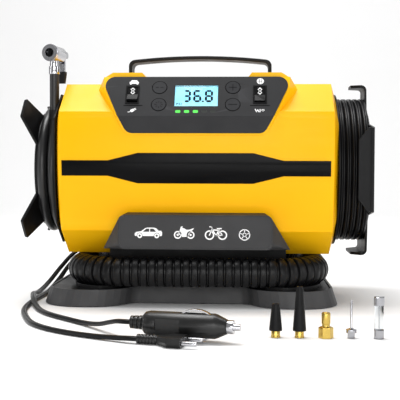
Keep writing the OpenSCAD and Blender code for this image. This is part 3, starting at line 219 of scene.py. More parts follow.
def mapped(tree, source, low, high, start=NOISE_LOW, end=NOISE_HIGH):
    """Maps a value from start and end to low and high."""
    span = tree.nodes.new("ShaderNodeMapRange")
    span.inputs["From Min"].default_value = start
    span.inputs["From Max"].default_value = end
    span.inputs["To Min"].default_value = low
    span.inputs["To Max"].default_value = high
    tree.links.new(source, span.inputs["Value"])
    return span.outputs["Result"]


def shaded(tree, source, color, spread):
    """A colour that wanders between a darker and a lighter tone with a source value."""
    ramp = tree.nodes.new("ShaderNodeValToRGB")
    dark, light = ramp.color_ramp.elements
    dark.position, light.position = NOISE_LOW, NOISE_HIGH
    dark.color = [c * (1 - spread) for c in color] + [1]
    light.color = [min(1, c * (1 + spread)) for c in color] + [1]
    tree.links.new(source, ramp.inputs["Fac"])
    return ramp.outputs["Color"]


def edge_highlights(tree, base, highlight):
    """Painted highlight on convex edges: mixes a colour half way to a lighter one there."""
    geometry = tree.nodes.new("ShaderNodeNewGeometry")
    edge = mapped(tree, geometry.outputs["Pointiness"], 0.0, 0.5, EDGE_LOW, EDGE_HIGH)
    mix = tree.nodes.new("ShaderNodeMix")
    mix.data_type = "RGBA"
    tree.links.new(edge, mix.inputs["Factor"])
    tree.links.new(base, mix.inputs[MIX_A])
    mix.inputs[MIX_B].default_value = list(highlight) + [1]
    return mix.outputs[MIX_RESULT]


def bumped(tree, shader, height, distance):
    """Raises the shader's surface by a height value; distance is in metres."""
    bump = tree.nodes.new("ShaderNodeBump")
    bump.inputs["Distance"].default_value = distance
    tree.links.new(height, bump.inputs["Height"])
    tree.links.new(bump.outputs["Normal"], shader.inputs["Normal"])


def moulded(name, color, rough, grain=900.0, grain_depth=0.00004, spread=0.06, coat=0.0,
            highlight=None, spec=0.5):
    """Moulded plastic or rubber: fine grain, slight tone changes, roughness that wanders, and a
    painted highlight on convex edges when a highlight colour is given.
    """
    mat, tree, shader = new_material(name)
    tone = noise_of(tree, 14.0, 4.0)
    fine = noise_of(tree, grain, 2.0, 0.6)
    smear = noise_of(tree, 60.0, 5.0, 0.65)
    base = shaded(tree, tone, color, spread)
    # painted highlight: convex edges are lightened, as if they caught the light
    if highlight is not None:
        base = edge_highlights(tree, base, highlight)
    tree.links.new(base, shader.inputs["Base Color"])
    tree.links.new(mapped(tree, smear, rough * 0.85, min(1, rough * 1.2)),
                   shader.inputs["Roughness"])
    shader.inputs["Specular IOR Level"].default_value = spec
    shader.inputs["Coat Weight"].default_value = coat
    shader.inputs["Coat Roughness"].default_value = 0.12
    bumped(tree, shader, fine, grain_depth)
    return mat


def metal(name, color, rough, scratch=300.0, depth=0.00001):
    """Plated or turned metal with fine scratches and faint stains."""
    mat, tree, shader = new_material(name)
    stain = noise_of(tree, 40.0, 5.0, 0.6)
    fine = noise_of(tree, scratch, 2.0, 0.7)
    tree.links.new(shaded(tree, stain, color, 0.05), shader.inputs["Base Color"])
    tree.links.new(mapped(tree, stain, rough * 0.7, rough * 1.5), shader.inputs["Roughness"])
    shader.inputs["Metallic"].default_value = 1.0
    bumped(tree, shader, fine, depth)
    return mat


def clear(name, color, spec=0.5, rough=0.03):
    """Clear glass or plastic with faint smears."""
    mat, tree, shader = new_material(name)
    smear = noise_of(tree, 120.0, 4.0)
    tree.links.new(shaded(tree, smear, color, 0.02), shader.inputs["Base Color"])
    tree.links.new(mapped(tree, smear, rough, rough * 3), shader.inputs["Roughness"])
    shader.inputs["Transmission Weight"].default_value = 1.0
    shader.inputs["Specular IOR Level"].default_value = spec
    shader.inputs["IOR"].default_value = 1.2
    return mat


def glowing(name, color, strength, spread):
    """A lit surface behind a diffuser."""
    mat, tree, shader = new_material(name)
    tone = noise_of(tree, 90.0, 2.0)
    toned = shaded(tree, tone, color, spread)
    tree.links.new(toned, shader.inputs["Base Color"])
    tree.links.new(toned, shader.inputs["Emission Color"])
    shader.inputs["Emission Strength"].default_value = strength
    shader.inputs["Roughness"].default_value = 0.35
    return mat


# ------------------------------------------------------------------ materials

# Each plastic's second colour is its painted highlight on convex edges.
YELLOW = moulded("yellow_plastic", (1.0, 0.485, 0.0), 0.34, 1400.0, 0.000018, 0.03,
                 highlight=(1.0, 0.57, 0.01), spec=0.16)
BLACK = moulded("black_plastic", (0.005, 0.005, 0.0054), 0.42, 1100.0, 0.00004, 0.25,
                highlight=(0.022, 0.022, 0.024), spec=0.15)
GREY = moulded("grey_plastic", (0.045, 0.045, 0.0465), 0.48, 1000.0, 0.00005, 0.12,
               highlight=(0.085, 0.085, 0.087), spec=0.3)
# painted shade: the housing's grey is made darker than the base's to stand in for the shade along
# its top edge and sides
SHADED_HOUSING = moulded("housing_plastic_painted_shade", (0.026, 0.026, 0.027), 0.5, 1000.0, 0.00005, 0.12,
                  highlight=(0.06, 0.06, 0.062), spec=0.3)
ICON_GREY = moulded("icon_grey_plastic", (0.035, 0.035, 0.0365), 0.5, 1000.0, 0.00005, 0.1,
                    spec=0.26)
PANEL = moulded("panel_plastic", (0.017, 0.0172, 0.0188), 0.5, 1300.0, 0.00004, 0.2,
                highlight=(0.04, 0.04, 0.044), spec=0.25)
GLOSS_BLACK = moulded("gloss_film", (0.0028, 0.0028, 0.0031), 0.22, 500.0, 0.000004, 0.3,
                      spec=0.07)
INK = moulded("black_ink", (0.002, 0.002, 0.002), 0.6, 1500.0, 0.00001, 0.2, spec=0.08)
SWITCH = moulded("switch_plastic", (0.004, 0.004, 0.0045), 0.42, 700.0, 0.00001, 0.2, spec=0.12)
BUTTON = moulded("button_rubber", (0.018, 0.0185, 0.021), 0.6, 1500.0, 0.00005, 0.15, spec=0.25)
RUBBER = moulded("black_rubber", (0.006, 0.006, 0.0065), 0.62, 800.0, 0.00006, 0.25, spec=0.3)
CORD = moulded("cord_jacket", (0.003, 0.003, 0.0034), 0.36, 900.0, 0.00003, 0.2, spec=0.2)
HOSE = moulded("hose_rubber", (0.011, 0.011, 0.0115), 0.36, 700.0, 0.00003, 0.2, 0.1, spec=0.4)
DUCT = moulded("corrugated_plastic", (0.003, 0.003, 0.0034), 0.36, 800.0, 0.00004, 0.25,
               spec=0.22)
PLUG = moulded("plug_plastic", (0.006, 0.006, 0.006), 0.36, 900.0, 0.00004, 0.2, 0.1, spec=0.4)
CHROME = metal("chrome", (0.52, 0.52, 0.54), 0.14)
NICKEL = metal("nickel_plate", (0.40, 0.40, 0.42), 0.14)
STEEL = metal("plain_steel", (0.55, 0.55, 0.57), 0.32)
BRASS = metal("brass", (0.60, 0.42, 0.10), 0.2)
COPPER = metal("copper", (0.72, 0.38, 0.2), 0.3)
ALU = metal("aluminium", (0.72, 0.72, 0.74), 0.36)
CAST = metal("cast_metal", (0.32, 0.32, 0.33), 0.5, 200.0, 0.00004)
WHITE_PRINT = moulded("white_print", (0.95, 0.95, 0.95), 0.5, 1500.0, 0.00001, 0.03)
IVORY = moulded("ivory_plastic", (0.62, 0.61, 0.56), 0.45)
BOARD = moulded("circuit_board", (0.01, 0.12, 0.04), 0.4)
WINDOW = clear("window_plastic", (0.9, 0.96, 1.0), spec=0.1)
GLASS = clear("fuse_glass", (0.80, 0.83, 0.85))
LCD = glowing("display_backlight", (0.42, 0.80, 0.90), 0.62, 0.04)
DIGIT = moulded("display_ink", (0.003, 0.006, 0.012), 0.6, 800.0, 0.00001, spec=0.08)

LIT_X = 0.0038          # metres: the lit windows are left of it
LIT_GREEN, LIT_GLOW = (0.08, 0.62, 0.07), (0.08, 0.72, 0.09)
DARK_GREEN, NO_GLOW = (0.004, 0.007, 0.004), (0.0, 0.0, 0.0)


def indicator_lights():
    """Green up to the third window, dark beyond it."""
    mat, tree, shader = new_material("indicator_lights")
    coords = tree.nodes.new("ShaderNodeTexCoord")
    split = tree.nodes.new("ShaderNodeSeparateXYZ")
    tree.links.new(coords.outputs["Object"], split.inputs[0])
    lit = tree.nodes.new("ShaderNodeMath")
    lit.operation = "LESS_THAN"
    lit.inputs[1].default_value = LIT_X
    tree.links.new(split.outputs["X"], lit.inputs[0])
    tone = noise_of(tree, 90.0, 2.0)
    for socket, on, off in (("Base Color", LIT_GREEN, DARK_GREEN),
                            ("Emission Color", LIT_GLOW, NO_GLOW)):
        mix = tree.nodes.new("ShaderNodeMix")
        mix.data_type = "RGBA"
        mix.inputs[MIX_A].default_value = list(off) + [1]
        tree.links.new(shaded(tree, tone, on, 0.06), mix.inputs[MIX_B])
        tree.links.new(lit.outputs[0], mix.inputs["Factor"])
        tree.links.new(mix.outputs[MIX_RESULT], shader.inputs[socket])
    shader.inputs["Emission Strength"].default_value = 0.42
    shader.inputs["Roughness"].default_value = 0.4
    return mat


LEDS = indicator_lights()

# ------------------------------------------------------------------ free cords

WINDING_X = DRUM_LEN / 2 + FLANGE + SEAT_GAP + CORD_W / 2      # middle of the first lane
CORD_PITCH = CORD_W + 0.45              # from one lane to the next
CORD_R = 64.3                           # radius of the winding at the cord's middle
CORD_LIFT = CORD_T + 0.5                # how far the last turn lifts off the one below
DC_PLUG, AC_PLUG = (-37.0, -222.0, 11.5), (-30.0, -243.0, 3.5)  # where the cords end
ROUTE_STEPS = 6                         # steps between two points of a route
TURN_OVER = 5 * ROUTE_STEPS             # steps in which a cord turns flat side up


def flat_flex(width, thick, lobes=10):
    """Section of a twin flex: two round cores with a shallow valley between them."""
    r = thick / 2
    c = width / 2 - r
    points = []
    for side in (1, -1):
        for i in range(lobes + 1):
            a = math.pi * (i / lobes - 0.5)
            points.append((side * (c + r * math.cos(a)), side * r * math.sin(a)))
        points += [(side * c * x, side * r * y)
                   for x, y in ((0.45, 0.9), (0.0, 0.55), (-0.45, 0.9))]
    return points


def cord_start(lane):
    """The point where the cord in a lane of the winding leaves the reel."""
    return (WINDING_X + lane * CORD_PITCH, CORD_R + CORD_LIFT, AXIS_Z - CORD_W - SEAT_GAP)


DC_ROUTE = [
    cord_start(2), (138, 68, 100), (135, 69.5, 86), (129, 73.5, 71), (119, 77, 57), (107, 79, 49),
    (92, 79.5, 46), (40, 79.5, 45.5), (-40, 79.5, 45.5), (-84, 79.5, 45.5), (-102, 78, 45),
    (-119, 71.5, 42), (-133, 60, 33), (-143, 48, 21), (-150, 33, 10), (-153, 12, 4.2),
    (-153, -12, 3), (-151, -38, 5.5), (-147, -57, 6), (-142, -76, 5.5), (-136, -93, 3),
    (-127, -114, 1.9), (-115, -134, 1.9), (-98, -154, 1.9), (-80, -174, 2.2), (-66, -192, 4.5),
    (-56, -205, 8), (-49, -214, 10.5), (-43, -220, 11.4), DC_PLUG,
]
AC_ROUTE = [
    cord_start(4), (148.5, 67.5, 100), (147, 68, 86), (140, 69, 71), (129, 70.5, 58),
    (114, 71.8, 49), (96, 72, 46), (40, 72, 45.5), (-40, 72, 45.5), (-80, 72, 45.5),
    (-98, 71, 45), (-112, 64, 42), (-124, 54, 34), (-134, 43, 23), (-140, 27, 12),
    (-144, 7, 4.5), (-145, -14, 2.1), (-146, -40, 1.9), (-146, -62, 1.9), (-145, -86, 1.9),
    (-141, -114, 1.9), (-133, -142, 1.9), (-121, -173, 1.9), (-106, -195, 1.9),
    (-86, -213, 1.9), (-64, -227, 2.1), (-46, -236.5, 2.8),
    (AC_PLUG[0] - 6, AC_PLUG[1] + 1.4, AC_PLUG[2]), AC_PLUG,
]


def flex_normals(count):
    """Out of the reel at the start of a cord, then up."""
    shares = [min(1.0, i / TURN_OVER) for i in range(count)]
    return [Vector((0, 1 - t, t)).normalized() for t in shares]


def make_cord(name, target, route):
    """A cord's free part, from its reel to its plug."""
    path = smooth_path(route, ROUTE_STEPS)
    verts, faces = sweep(path, flat_flex(CORD_W, CORD_T), flex_normals(len(path)))
    piece = mesh_piece(name, verts, faces, CORD)
    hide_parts(target)


make_cord("vehicle_cord", "dc_cord_run", DC_ROUTE)
make_cord("mains_cord", "ac_cord_run", AC_ROUTE)

# ------------------------------------------------------------------ wound cords

LOOP_STEPS = 72                         # steps in a turn
CROSSING = 0.16                         # share of a turn in which it steps to the next lane


def wind_point(t, first, turns):
    """A turn stands square to the axis and steps to the next lane at its end."""
    whole = math.floor(t)
    lane = min(whole + smoothstep((t - whole - 1 + CROSSING) / CROSSING), turns - 1)
    a = -2 * math.pi * t
    r = CORD_R + CORD_LIFT * smoothstep((t - turns + CROSSING) / CROSSING)
    return Vector((WINDING_X + (first + lane) * CORD_PITCH,
                   r * math.cos(a), AXIS_Z + r * math.sin(a)))


def make_winding(name, target, first, turns):
    """A cord's wound part, in the lanes from the first."""
    path = [wind_point(i / LOOP_STEPS, first, turns) for i in range(turns * LOOP_STEPS + 1)]
    down = Vector((0, 0, -CORD_W))
    path = [path[0] - down] + path + [path[-1] + down]
    normals = [Vector((0, p.y, p.z - AXIS_Z)).normalized() for p in path]
    verts, faces = sweep(path, flat_flex(CORD_W, CORD_T), normals)
    piece = mesh_piece(name, verts, faces, CORD)
    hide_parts(target)


make_winding("vehicle_cord_turns", "dc_cord_winding", 0, 3)
make_winding("mains_cord_turns", "ac_cord_winding", 3, 2)

# ------------------------------------------------------------------ air hose on its reel

REEL_FLANGE_X = -DRUM_LEN / 2 - FLANGE
HOSE_SEAT_X = REEL_FLANGE_X - SEAT_GAP
HOSE_X = (HOSE_SEAT_X - HOSE_D / 2, HOSE_SEAT_X - 1.5 * HOSE_D - 0.5)      # inner, outer turn
HOSE_R = 50.7 + HOSE_D / 2              # radius of the winding at the hose's middle
OUTLET_R = math.hypot(19.0, 33.5)       # from the axis to the outlet in the reel's core
CHUCK = Vector((HOSE_X[0] + 0.5, -45.5, AXIS_Z + 103.6))        # middle of the chuck's head
STEM_Z = CHUCK.z - 18.5                 # where the hose meets the chuck's stem


def hose_point(degrees):
    """Out of the core to the outer turn, and across to the inner one."""
    r = HOSE_R - (HOSE_R - OUTLET_R) * smoothstep((degrees + 30) / 90)
    x = HOSE_X[1] + (HOSE_X[0] - HOSE_X[1]) * smoothstep((-270 - degrees) / 90)
    a = math.radians(degrees)
    return Vector((x, r * math.cos(a), AXIS_Z + r * math.sin(a)))


def make_air_hose():
    """Once and a half round its reel, then up to the chuck."""
    coil = [hose_point(a) for a in range(46, -560, -6)] + [hose_point(-562)]
    rise = smooth_path([
        coil[-1], (HOSE_X[0] + 0.1, CHUCK.y - 2.4, AXIS_Z + 28.5),
        (HOSE_X[0] + 0.3, CHUCK.y - 0.7, AXIS_Z + 36), (CHUCK.x, CHUCK.y, AXIS_Z + 44),
        (CHUCK.x, CHUCK.y, AXIS_Z + 60), (CHUCK.x, CHUCK.y, STEM_Z)], 5)
    path = coil + rise[1:]
    normals = [Vector((1, 0, 0))] * len(path)
    verts, faces = sweep(path, circle(0, 0, HOSE_D / 2, 24), normals)
    piece = mesh_piece("coiled_air_hose", verts, faces, HOSE)
    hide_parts("air_hose")


make_air_hose()

# ------------------------------------------------------------------ corrugated hose

DUCT_HALF = 2 * (DUCT_X - DUCT_R) - DUCT_GAP + 2 * (DUCT_Y - DUCT_R) + math.pi * DUCT_R
RIB_PITCH = 7.4                         # before it is fitted to a whole number of ribs
GROOVE = 2.3                            # depth of a groove below the crests
BORE = 3.6                              # depth of the smooth bore below them
RIB = [(0.0, GROOVE), (0.07, GROOVE), (0.13, 1.1), (0.18, 0.25), (0.30, 0.0),
       (0.70, 0.0), (0.82, 0.25), (0.87, 1.1), (0.93, GROOVE)]     # share of pitch, depth
DUCT_SIDES = 40
DUCT_OFF_LEDGE = 0.05


def duct_quarter(s):
    """Half of the loop, from its end at the back, round the right, to the front's middle."""
    straight = DUCT_X - DUCT_R - DUCT_GAP
    arc = math.pi / 2 * DUCT_R
    side = 2 * (DUCT_Y - DUCT_R)
    cx, cy = DUCT_X - DUCT_R, DUCT_Y - DUCT_R
    if s < straight:
        return DUCT_GAP + s, DUCT_Y
    s -= straight
    if s < arc:
        return cx + DUCT_R * math.sin(s / DUCT_R), cy + DUCT_R * math.cos(s / DUCT_R)
    s -= arc
    if s < side:
        return DUCT_X, cy - s
    s -= side
    if s < arc:
        return cx + DUCT_R * math.cos(s / DUCT_R), -cy - DUCT_R * math.sin(s / DUCT_R)
    return cx - (s - arc), -DUCT_Y


def duct_at(s):
    """The point at a length along the whole loop."""
    right = s <= DUCT_HALF
    x, y = duct_quarter(s if right else 2 * DUCT_HALF - s)
    return Vector((x if right else -x, y, DUCT_Z))


def duct_ring(s, depth):
    """A ring of the hose at a length along the loop, flattened where it rests."""
    ahead = duct_at(min(s + 0.5, 2 * DUCT_HALF)) - duct_at(max(s - 0.5, 0))
    up = Vector((0, 0, 1))
    across = ahead.normalized().cross(up).normalized()
    ring = [duct_at(s) + across * x + up * y
            for x, y in circle(0, 0, DUCT_D / 2 - depth, DUCT_SIDES)]
    for point in ring:
        point.z = max(point.z, LEDGE_Z + DUCT_OFF_LEDGE)
    return ring


def make_duct():
    """The hose round the base: ribs outside, a smooth bore inside."""
    ribs = round(2 * DUCT_HALF / RIB_PITCH)
    pitch = 2 * DUCT_HALF / ribs
    rings = [duct_ring((i + share) * pitch, depth) for i in range(ribs) for share, depth in RIB]
    rings.append(duct_ring(2 * DUCT_HALF, GROOVE))
    rings += [duct_ring(i * pitch, BORE) for i in range(ribs, -1, -1)]
    verts, faces = skin(rings, looped=True)
    piece = mesh_piece("ribbed_hose", verts, faces, DUCT, sharp=50)
    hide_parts("corrugated_hose")


make_duct()

# ------------------------------------------------------------------ CAD nodes that stay

WELD = 0.00001          # metres
EDGE_ANGLE = 24         # degrees: sharper edges than this are rounded

CAD_LOOKS = {
    # node: (material, width of its rounded edges in millimetres)
    "front_shell": (YELLOW, 1.3), "rear_shell": (YELLOW, 1.0), "console_pod": (YELLOW, 1.2),
    "shell_screws": (STEEL, 0.2), "control_panel": (PANEL, 0.5), "control_board": (BOARD, 0.1),
    "lcd_module": (LCD, 0.1), "display_window": (WINDOW, 0.1), "led_windows": (LEDS, 0.3),
    "unit_button": (BUTTON, 0.25), "light_button": (BUTTON, 0.25),
    "plus_button": (BUTTON, 0.25), "minus_button": (BUTTON, 0.25),
    "power_rocker": (SWITCH, 0.4), "pump_rocker": (SWITCH, 0.4),
    "switch_housings": (SWITCH, 0.3), "center_stripe": (GLOSS_BLACK, 0.2),
    "icon_housing": (SHADED_HOUSING, 0.9), "icon_plate": (ICON_GREY, 0.25), "base_pan": (GREY, 0.8),
    "hose_cradle": (BLACK, 0.6), "rubber_sole": (RUBBER, 0.4), "hose_cuffs": (BLACK, 0.6),
    "hose_ports": (BLACK, 0.5), "hose_reel": (BLACK, 0.5), "hose_outlet": (CHROME, 0.2),
    "chuck_body": (CHROME, 0.5), "chuck_seal": (RUBBER, 0.2), "chuck_lever": (CHROME, 0.4),
    "handle_strap": (BLACK, 0.9), "cord_reel": (BLACK, 0.5), "strain_reliefs": (PLUG, 0.4),
    "dc_plug_body": (PLUG, 0.5), "dc_plug_tip": (CHROME, 0.4), "dc_plug_metal": (CHROME, 0.15),
    "ac_plug_body": (PLUG, 0.5), "ac_plug_pins": (CHROME, 0.5), "cone_nozzles": (BLACK, 0.12),
    "brass_adapters": (BRASS, 0.2), "ball_needle": (NICKEL, 0.1), "spare_fuse": (GLASS, 0.3),
    "motor_can": (STEEL, 0.6), "armature": (COPPER, 0.2), "compressor_frame": (CAST, 0.5),
    "crank_gear": (STEEL, 0.15), "con_rod": (ALU, 0.3), "piston": (ALU, 0.3),
    "pump_cylinder": (ALU, 0.3), "air_tube": (HOSE, 0.2), "blower_motor": (STEEL, 0.6),
    "impeller": (IVORY, 0.3), "volute": (IVORY, 0.5), "power_supply": (ALU, 0.4),
}


def dress(name, material, edge):
    """Gives a CAD node its material and rounds its edges."""
    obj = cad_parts[name]
    obj.data.materials.clear()
    obj.data.materials.append(material)
    weld = obj.modifiers.new("weld", "WELD")
    weld.merge_threshold = WELD
    bevel = obj.modifiers.new("bevel", "BEVEL")
    bevel.width = edge * MM
    bevel.segments = 3
    bevel.limit_method = "ANGLE"
    bevel.angle_limit = math.radians(EDGE_ANGLE)
    bevel.harden_normals = True


for cad_name, (cad_material, cad_edge) in CAD_LOOKS.items():
    dress(cad_name, cad_material, cad_edge)

# ------------------------------------------------------------------ fuse caps


def make_fuse_caps():
    """Metal caps drawn over both ends of the glass, and the wire between them."""
    low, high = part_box("spare_fuse")
    mid = (low + high) / 2 / MM
    r = (high.x - low.x) / 2 / MM
    tall = (high.z - low.z) / MM
    proud, length = 0.04, 6.4
    cap = turned([(0.1, 0), (r - 0.5, 0), (r + proud, 0.5), (r + proud, length - 0.3),
                  (r - 0.2, length), (r - 0.5, length)], 40)
    wire = turned([(0.25, 6), (0.25, tall - 6)], 10)
    flip = Matrix.Translation((0, 0, tall)) @ Matrix.Rotation(math.pi, 4, "X")
    place = Matrix.Translation((mid.x, mid.y, low.z / MM))
    verts, faces = moved(join([cap, moved(cap, flip), wire]), place)
    mesh_piece("fuse_caps", verts, faces, NICKEL)


make_fuse_caps()

# ------------------------------------------------------------------ rubber tip of the lever

CHUCK_YAW = math.radians(-12)           # the chuck's head looks a little to the left
LEVER_Y = 14.3                          # the lever's pivot, behind the head's middle
TIP_CORNER = 0.7
TIP_LEVELS = [                          # height, half width, near side, far side
    (-14.6, 4.3, -0.55, 3.35), (-15.0, 4.65, -0.75, 3.6), (-16.6, 4.65, -0.75, 3.6),
    (-24.2, 3.4, 0.45, 3.95), (-25.25, 3.15, 0.65, 3.8),
]


def tip_ring(z, half, near, far):
    """A level of the sleeve: a rectangle with round corners."""
    x, low, high = half - TIP_CORNER, near + TIP_CORNER, far - TIP_CORNER
    ring = []
    for cx, cy, turn in ((x, high, 0), (-x, high, 90), (-x, low, 180), (x, low, 270)):
        for k in range(4):
            a = math.radians(turn + 30 * k)
            ring.append((cx + TIP_CORNER * math.cos(a), cy + TIP_CORNER * math.sin(a), z))
    return ring


def make_lever_tip():
    """A black sleeve over the free end of the chuck's lever."""
    place = (Matrix.Translation(CHUCK) @ Matrix.Rotation(CHUCK_YAW, 4, "Z")
             @ Matrix.Translation((0, LEVER_Y, 0)))
    verts, faces = moved(skin([tip_ring(*level) for level in TIP_LEVELS]), place)
    mesh_piece("lever_tip", verts, faces, RUBBER, "lever")


make_lever_tip()

# ------------------------------------------------------------------ printed pictures

# How far the face of a print stands off the plate or the console's face.
ON_PLATE, OVER_PLATE, TOP_OF_PLATE = 0.06, 0.10, 0.14
LINE_ON_PANEL, ON_PANEL, OVER_PANEL, ON_BUTTON = 0.04, 0.05, 0.09, 0.36
DIGITS_ON_DISPLAY, EDGE_ON_DISPLAY = -0.34, -0.36
HAIRLINE, THIN, MEDIUM, BOLD = 0.45, 0.5, 0.7, 0.95    # widths of lines


def on_plate(offset):
    """From [x, z] in millimetres to the icon plate's front."""
    return Matrix(((1, 0, 0, 0), (0, 0, 1, PLATE_Y - offset), (0, 1, 0, 0), (0, 0, 0, 1)))


def on_panel(offset):
    """From [u, v] in millimetres to the console's face."""
    s, c = math.sin(LEAN), math.cos(LEAN)
    return Matrix.Translation(CREASE) @ Matrix((
        (1, 0, 0, 0), (0, s, -c, -c * offset), (0, c, s, s * offset), (0, 0, 0, 1)))


def shifted(points, place):
    return [(x + place[0], y + place[1]) for x, y in points]


def patch(points):
    """A film with a flat outline, its face at height 0."""
    n = len(points)
    turn = sum(points[i - 1][0] * points[i][1] - points[i][0] * points[i - 1][1]
               for i in range(n))
    if turn < 0:
        points = points[::-1]
    verts = [(x, y, z) for z in (0.0, -FILM) for x, y in points]
    faces = [tuple(range(n)), tuple(reversed(range(n, 2 * n)))]
    faces += [(i, i + n, (i + 1) % n + n, (i + 1) % n) for i in range(n)]
    return verts, faces


def disc(x, y, r):
    return patch(circle(x, y, r, 28))


def hoop(x, y, r, width, steps=32, squash=1.0):
    """A film ring, round or squashed."""
    corners = ((r, 0.0), (r - width, 0.0), (r - width, -FILM), (r, -FILM))
    return skin([[(x + q * cos, y + squash * q * sin, z) for q, z in corners]
                 for cos, sin in circle(0, 0, 1, steps)], looped=True)


def stroke(points, width):
    """A film line through points: a strip for each stretch, half a width longer at each end."""
    parts = []
    for (x0, y0), (x1, y1) in zip(points, points[1:]):
        size = math.dist((x0, y0), (x1, y1))
        ex, ey = (x1 - x0) / size * width / 2, (y1 - y0) / size * width / 2
        parts.append(patch([
            (x0 - ex - ey, y0 - ey + ex), (x0 - ex + ey, y0 - ey - ex),
            (x1 + ex + ey, y1 + ey - ex), (x1 + ex - ey, y1 + ey + ex)]))
    return join(parts)


def printed(name, parts, place, material, body=BODY):
    """One piece from the films of a picture."""
    verts, faces = moved(join(parts), place)
    mesh_piece(name, verts, faces, material, body, smooth=False)


# Pictures on the plate, in [x, z]; the car's points are measured from its own middle.
CAR = (-40.3, 64.5)
CAR_OUTLINE = [
    (-11.9, -1.6), (-11.7, 0.2), (-10.4, 1.2), (-6.2, 1.9), (-2.7, 4.5), (-0.9, 5.0), (4.8, 5.0),
    (6.9, 4.4), (9.0, 2.3), (11.0, 2.4), (11.9, 1.2), (11.9, -1.6), (11.3, -2.3), (-11.3, -2.3),
]
CAR_WINDOWS = [
    [(-4.5, 1.4), (-4.2, 2.0), (-1.6, 4.1), (0.8, 4.1), (0.8, 1.4)],
    [(1.5, 1.4), (1.5, 4.1), (4.4, 4.1), (6.3, 2.0), (6.3, 1.4)],
]
CAR_WHEELS = shifted([(-7.5, -2.0), (7.3, -2.0)], CAR)
MOTORCYCLE_OUTLINE = [
    (-14.6, 63.6), (-12.7, 68.4), (-12.2, 70.4), (-10.6, 70.9), (-10.9, 69.4), (-8.9, 68.9),
    (-7.4, 67.8), (-4.6, 67.9), (-0.9, 69.4), (-1.4, 68.1), (-3.8, 66.3), (-5.2, 63.8),
    (-6.0, 61.9), (-10.9, 61.6), (-12.0, 64.2), (-13.4, 63.2),
]
MOTORCYCLE_WHEELS = [(-14.8, 63.4), (-3.7, 63.4)]
FRONT_HUB, REAR_HUB = (12.6, 63.4), (23.7, 63.4)
CRANK_AXLE, SADDLE_POST = (18.3, 63.1), (20.9, 68.4)
SPOKED_WHEEL = (42.7, 63.8)


def motorcycle_picture():
    parts = [hoop(x, z, 3.4, 1.15) for x, z in MOTORCYCLE_WHEELS]
    parts += [disc(x, z, 1.0) for x, z in MOTORCYCLE_WHEELS]
    return parts + [patch(MOTORCYCLE_OUTLINE)]


def bicycle_picture():
    parts = [hoop(x, z, 4.1, 1.15) for x, z in (FRONT_HUB, REAR_HUB)]
    parts.append(stroke([FRONT_HUB, (14.9, 69.0), (14.3, 70.5), (12.9, 70.6)], BOLD))
    parts.append(stroke([REAR_HUB, (20.6, 67.6), (15.0, 67.9), CRANK_AXLE, SADDLE_POST], BOLD))
    parts.append(stroke([REAR_HUB, CRANK_AXLE], BOLD))
    return parts + [stroke([(19.4, 69.0), (22.6, 69.1)], 1.0)]


def wheel_picture():
    """A rim, five spokes and a five-sided hub."""
    angles = [math.pi * (0.5 + 0.4 * k) for k in range(5)]
    hub, rim = ([(SPOKED_WHEEL[0] + r * math.cos(a), SPOKED_WHEEL[1] + r * math.sin(a))
                 for a in angles] for r in (1.7, 4.5))
    parts = [hoop(*SPOKED_WHEEL, 4.9, 0.8), stroke(hub + hub[:1], MEDIUM)]
    return parts + [stroke(ends, MEDIUM) for ends in zip(hub, rim)]


def print_plate():
    """A car, a motorcycle, a bicycle and a wheel."""
    white = [patch(shifted(CAR_OUTLINE, CAR))]
    white += motorcycle_picture() + bicycle_picture() + wheel_picture()
    printed("plate_pictures", white, on_plate(ON_PLATE), WHITE_PRINT)
    dark = [patch(shifted(window, CAR)) for window in CAR_WINDOWS]
    dark += [disc(x, z, 2.5) for x, z in CAR_WHEELS]
    printed("plate_picture_windows", dark, on_plate(OVER_PLATE), ICON_GREY)
    wheels = [hoop(x, z, 2.15, 1.25) for x, z in CAR_WHEELS]
    printed("plate_picture_wheels", wheels, on_plate(TOP_OF_PLATE), WHITE_PRINT)


# Pictures on the console, in [u, v].
CAR_FRONT, BALL = (-54.6, 35.0), (55.7, 36.0)
PLUG_PICTURE, VALVE_PICTURE = (-54.4, 5.6), (55.3, 5.4)
LINE_V, LINES_U = 10.7, ((-62.0, -46.4), (47.2, 63.3))


def car_front_picture():
    body = [(-3.9, -1.5), (-4.0, 0.3), (-3.1, 0.8), (-2.3, 2.2), (2.3, 2.2), (3.1, 0.8),
            (4.0, 0.3), (3.9, -1.5)]
    wheel = [(-0.7, -2.4), (-0.7, -1.4), (0.7, -1.4), (0.7, -2.4)]
    parts = [patch(shifted(body, CAR_FRONT))]
    return parts + [patch(shifted(shifted(wheel, (x, 0)), CAR_FRONT)) for x in (-2.9, 2.9)]


def plug_picture():
    body = [(-1.6, -1.3), (1.0, -1.3), (1.6, -0.8), (1.6, 0.8), (1.0, 1.3), (-1.6, 1.3)]
    parts = [patch(body)]
    parts += [stroke([(1.6, y), (3.2, y)], 0.6) for y in (0.6, -0.6)]
    parts.append(stroke([(-1.6, 0), (-3.0, 0), (-3.9, 0.5)], 0.6))
    turn = Matrix.Translation((*PLUG_PICTURE, 0)) @ Matrix.Rotation(math.radians(32), 4, "Z")
    return [moved(join(parts), turn)]


def valve_picture():
    u, v = VALVE_PICTURE
    zigzag = shifted([(-4.0, 1.4), (-3.0, -1.2), (-1.8, 0.9), (-0.9, -1.2)], VALVE_PICTURE)
    stem = shifted([(0.1, -1.3), (0.1, 1.2)], VALVE_PICTURE)
    ring = hoop(u + 2.6, v + 0.4, 1.3, 0.5, steps=20, squash=0.8)
    return [stroke(zigzag, MEDIUM), stroke(stem, MEDIUM), ring]


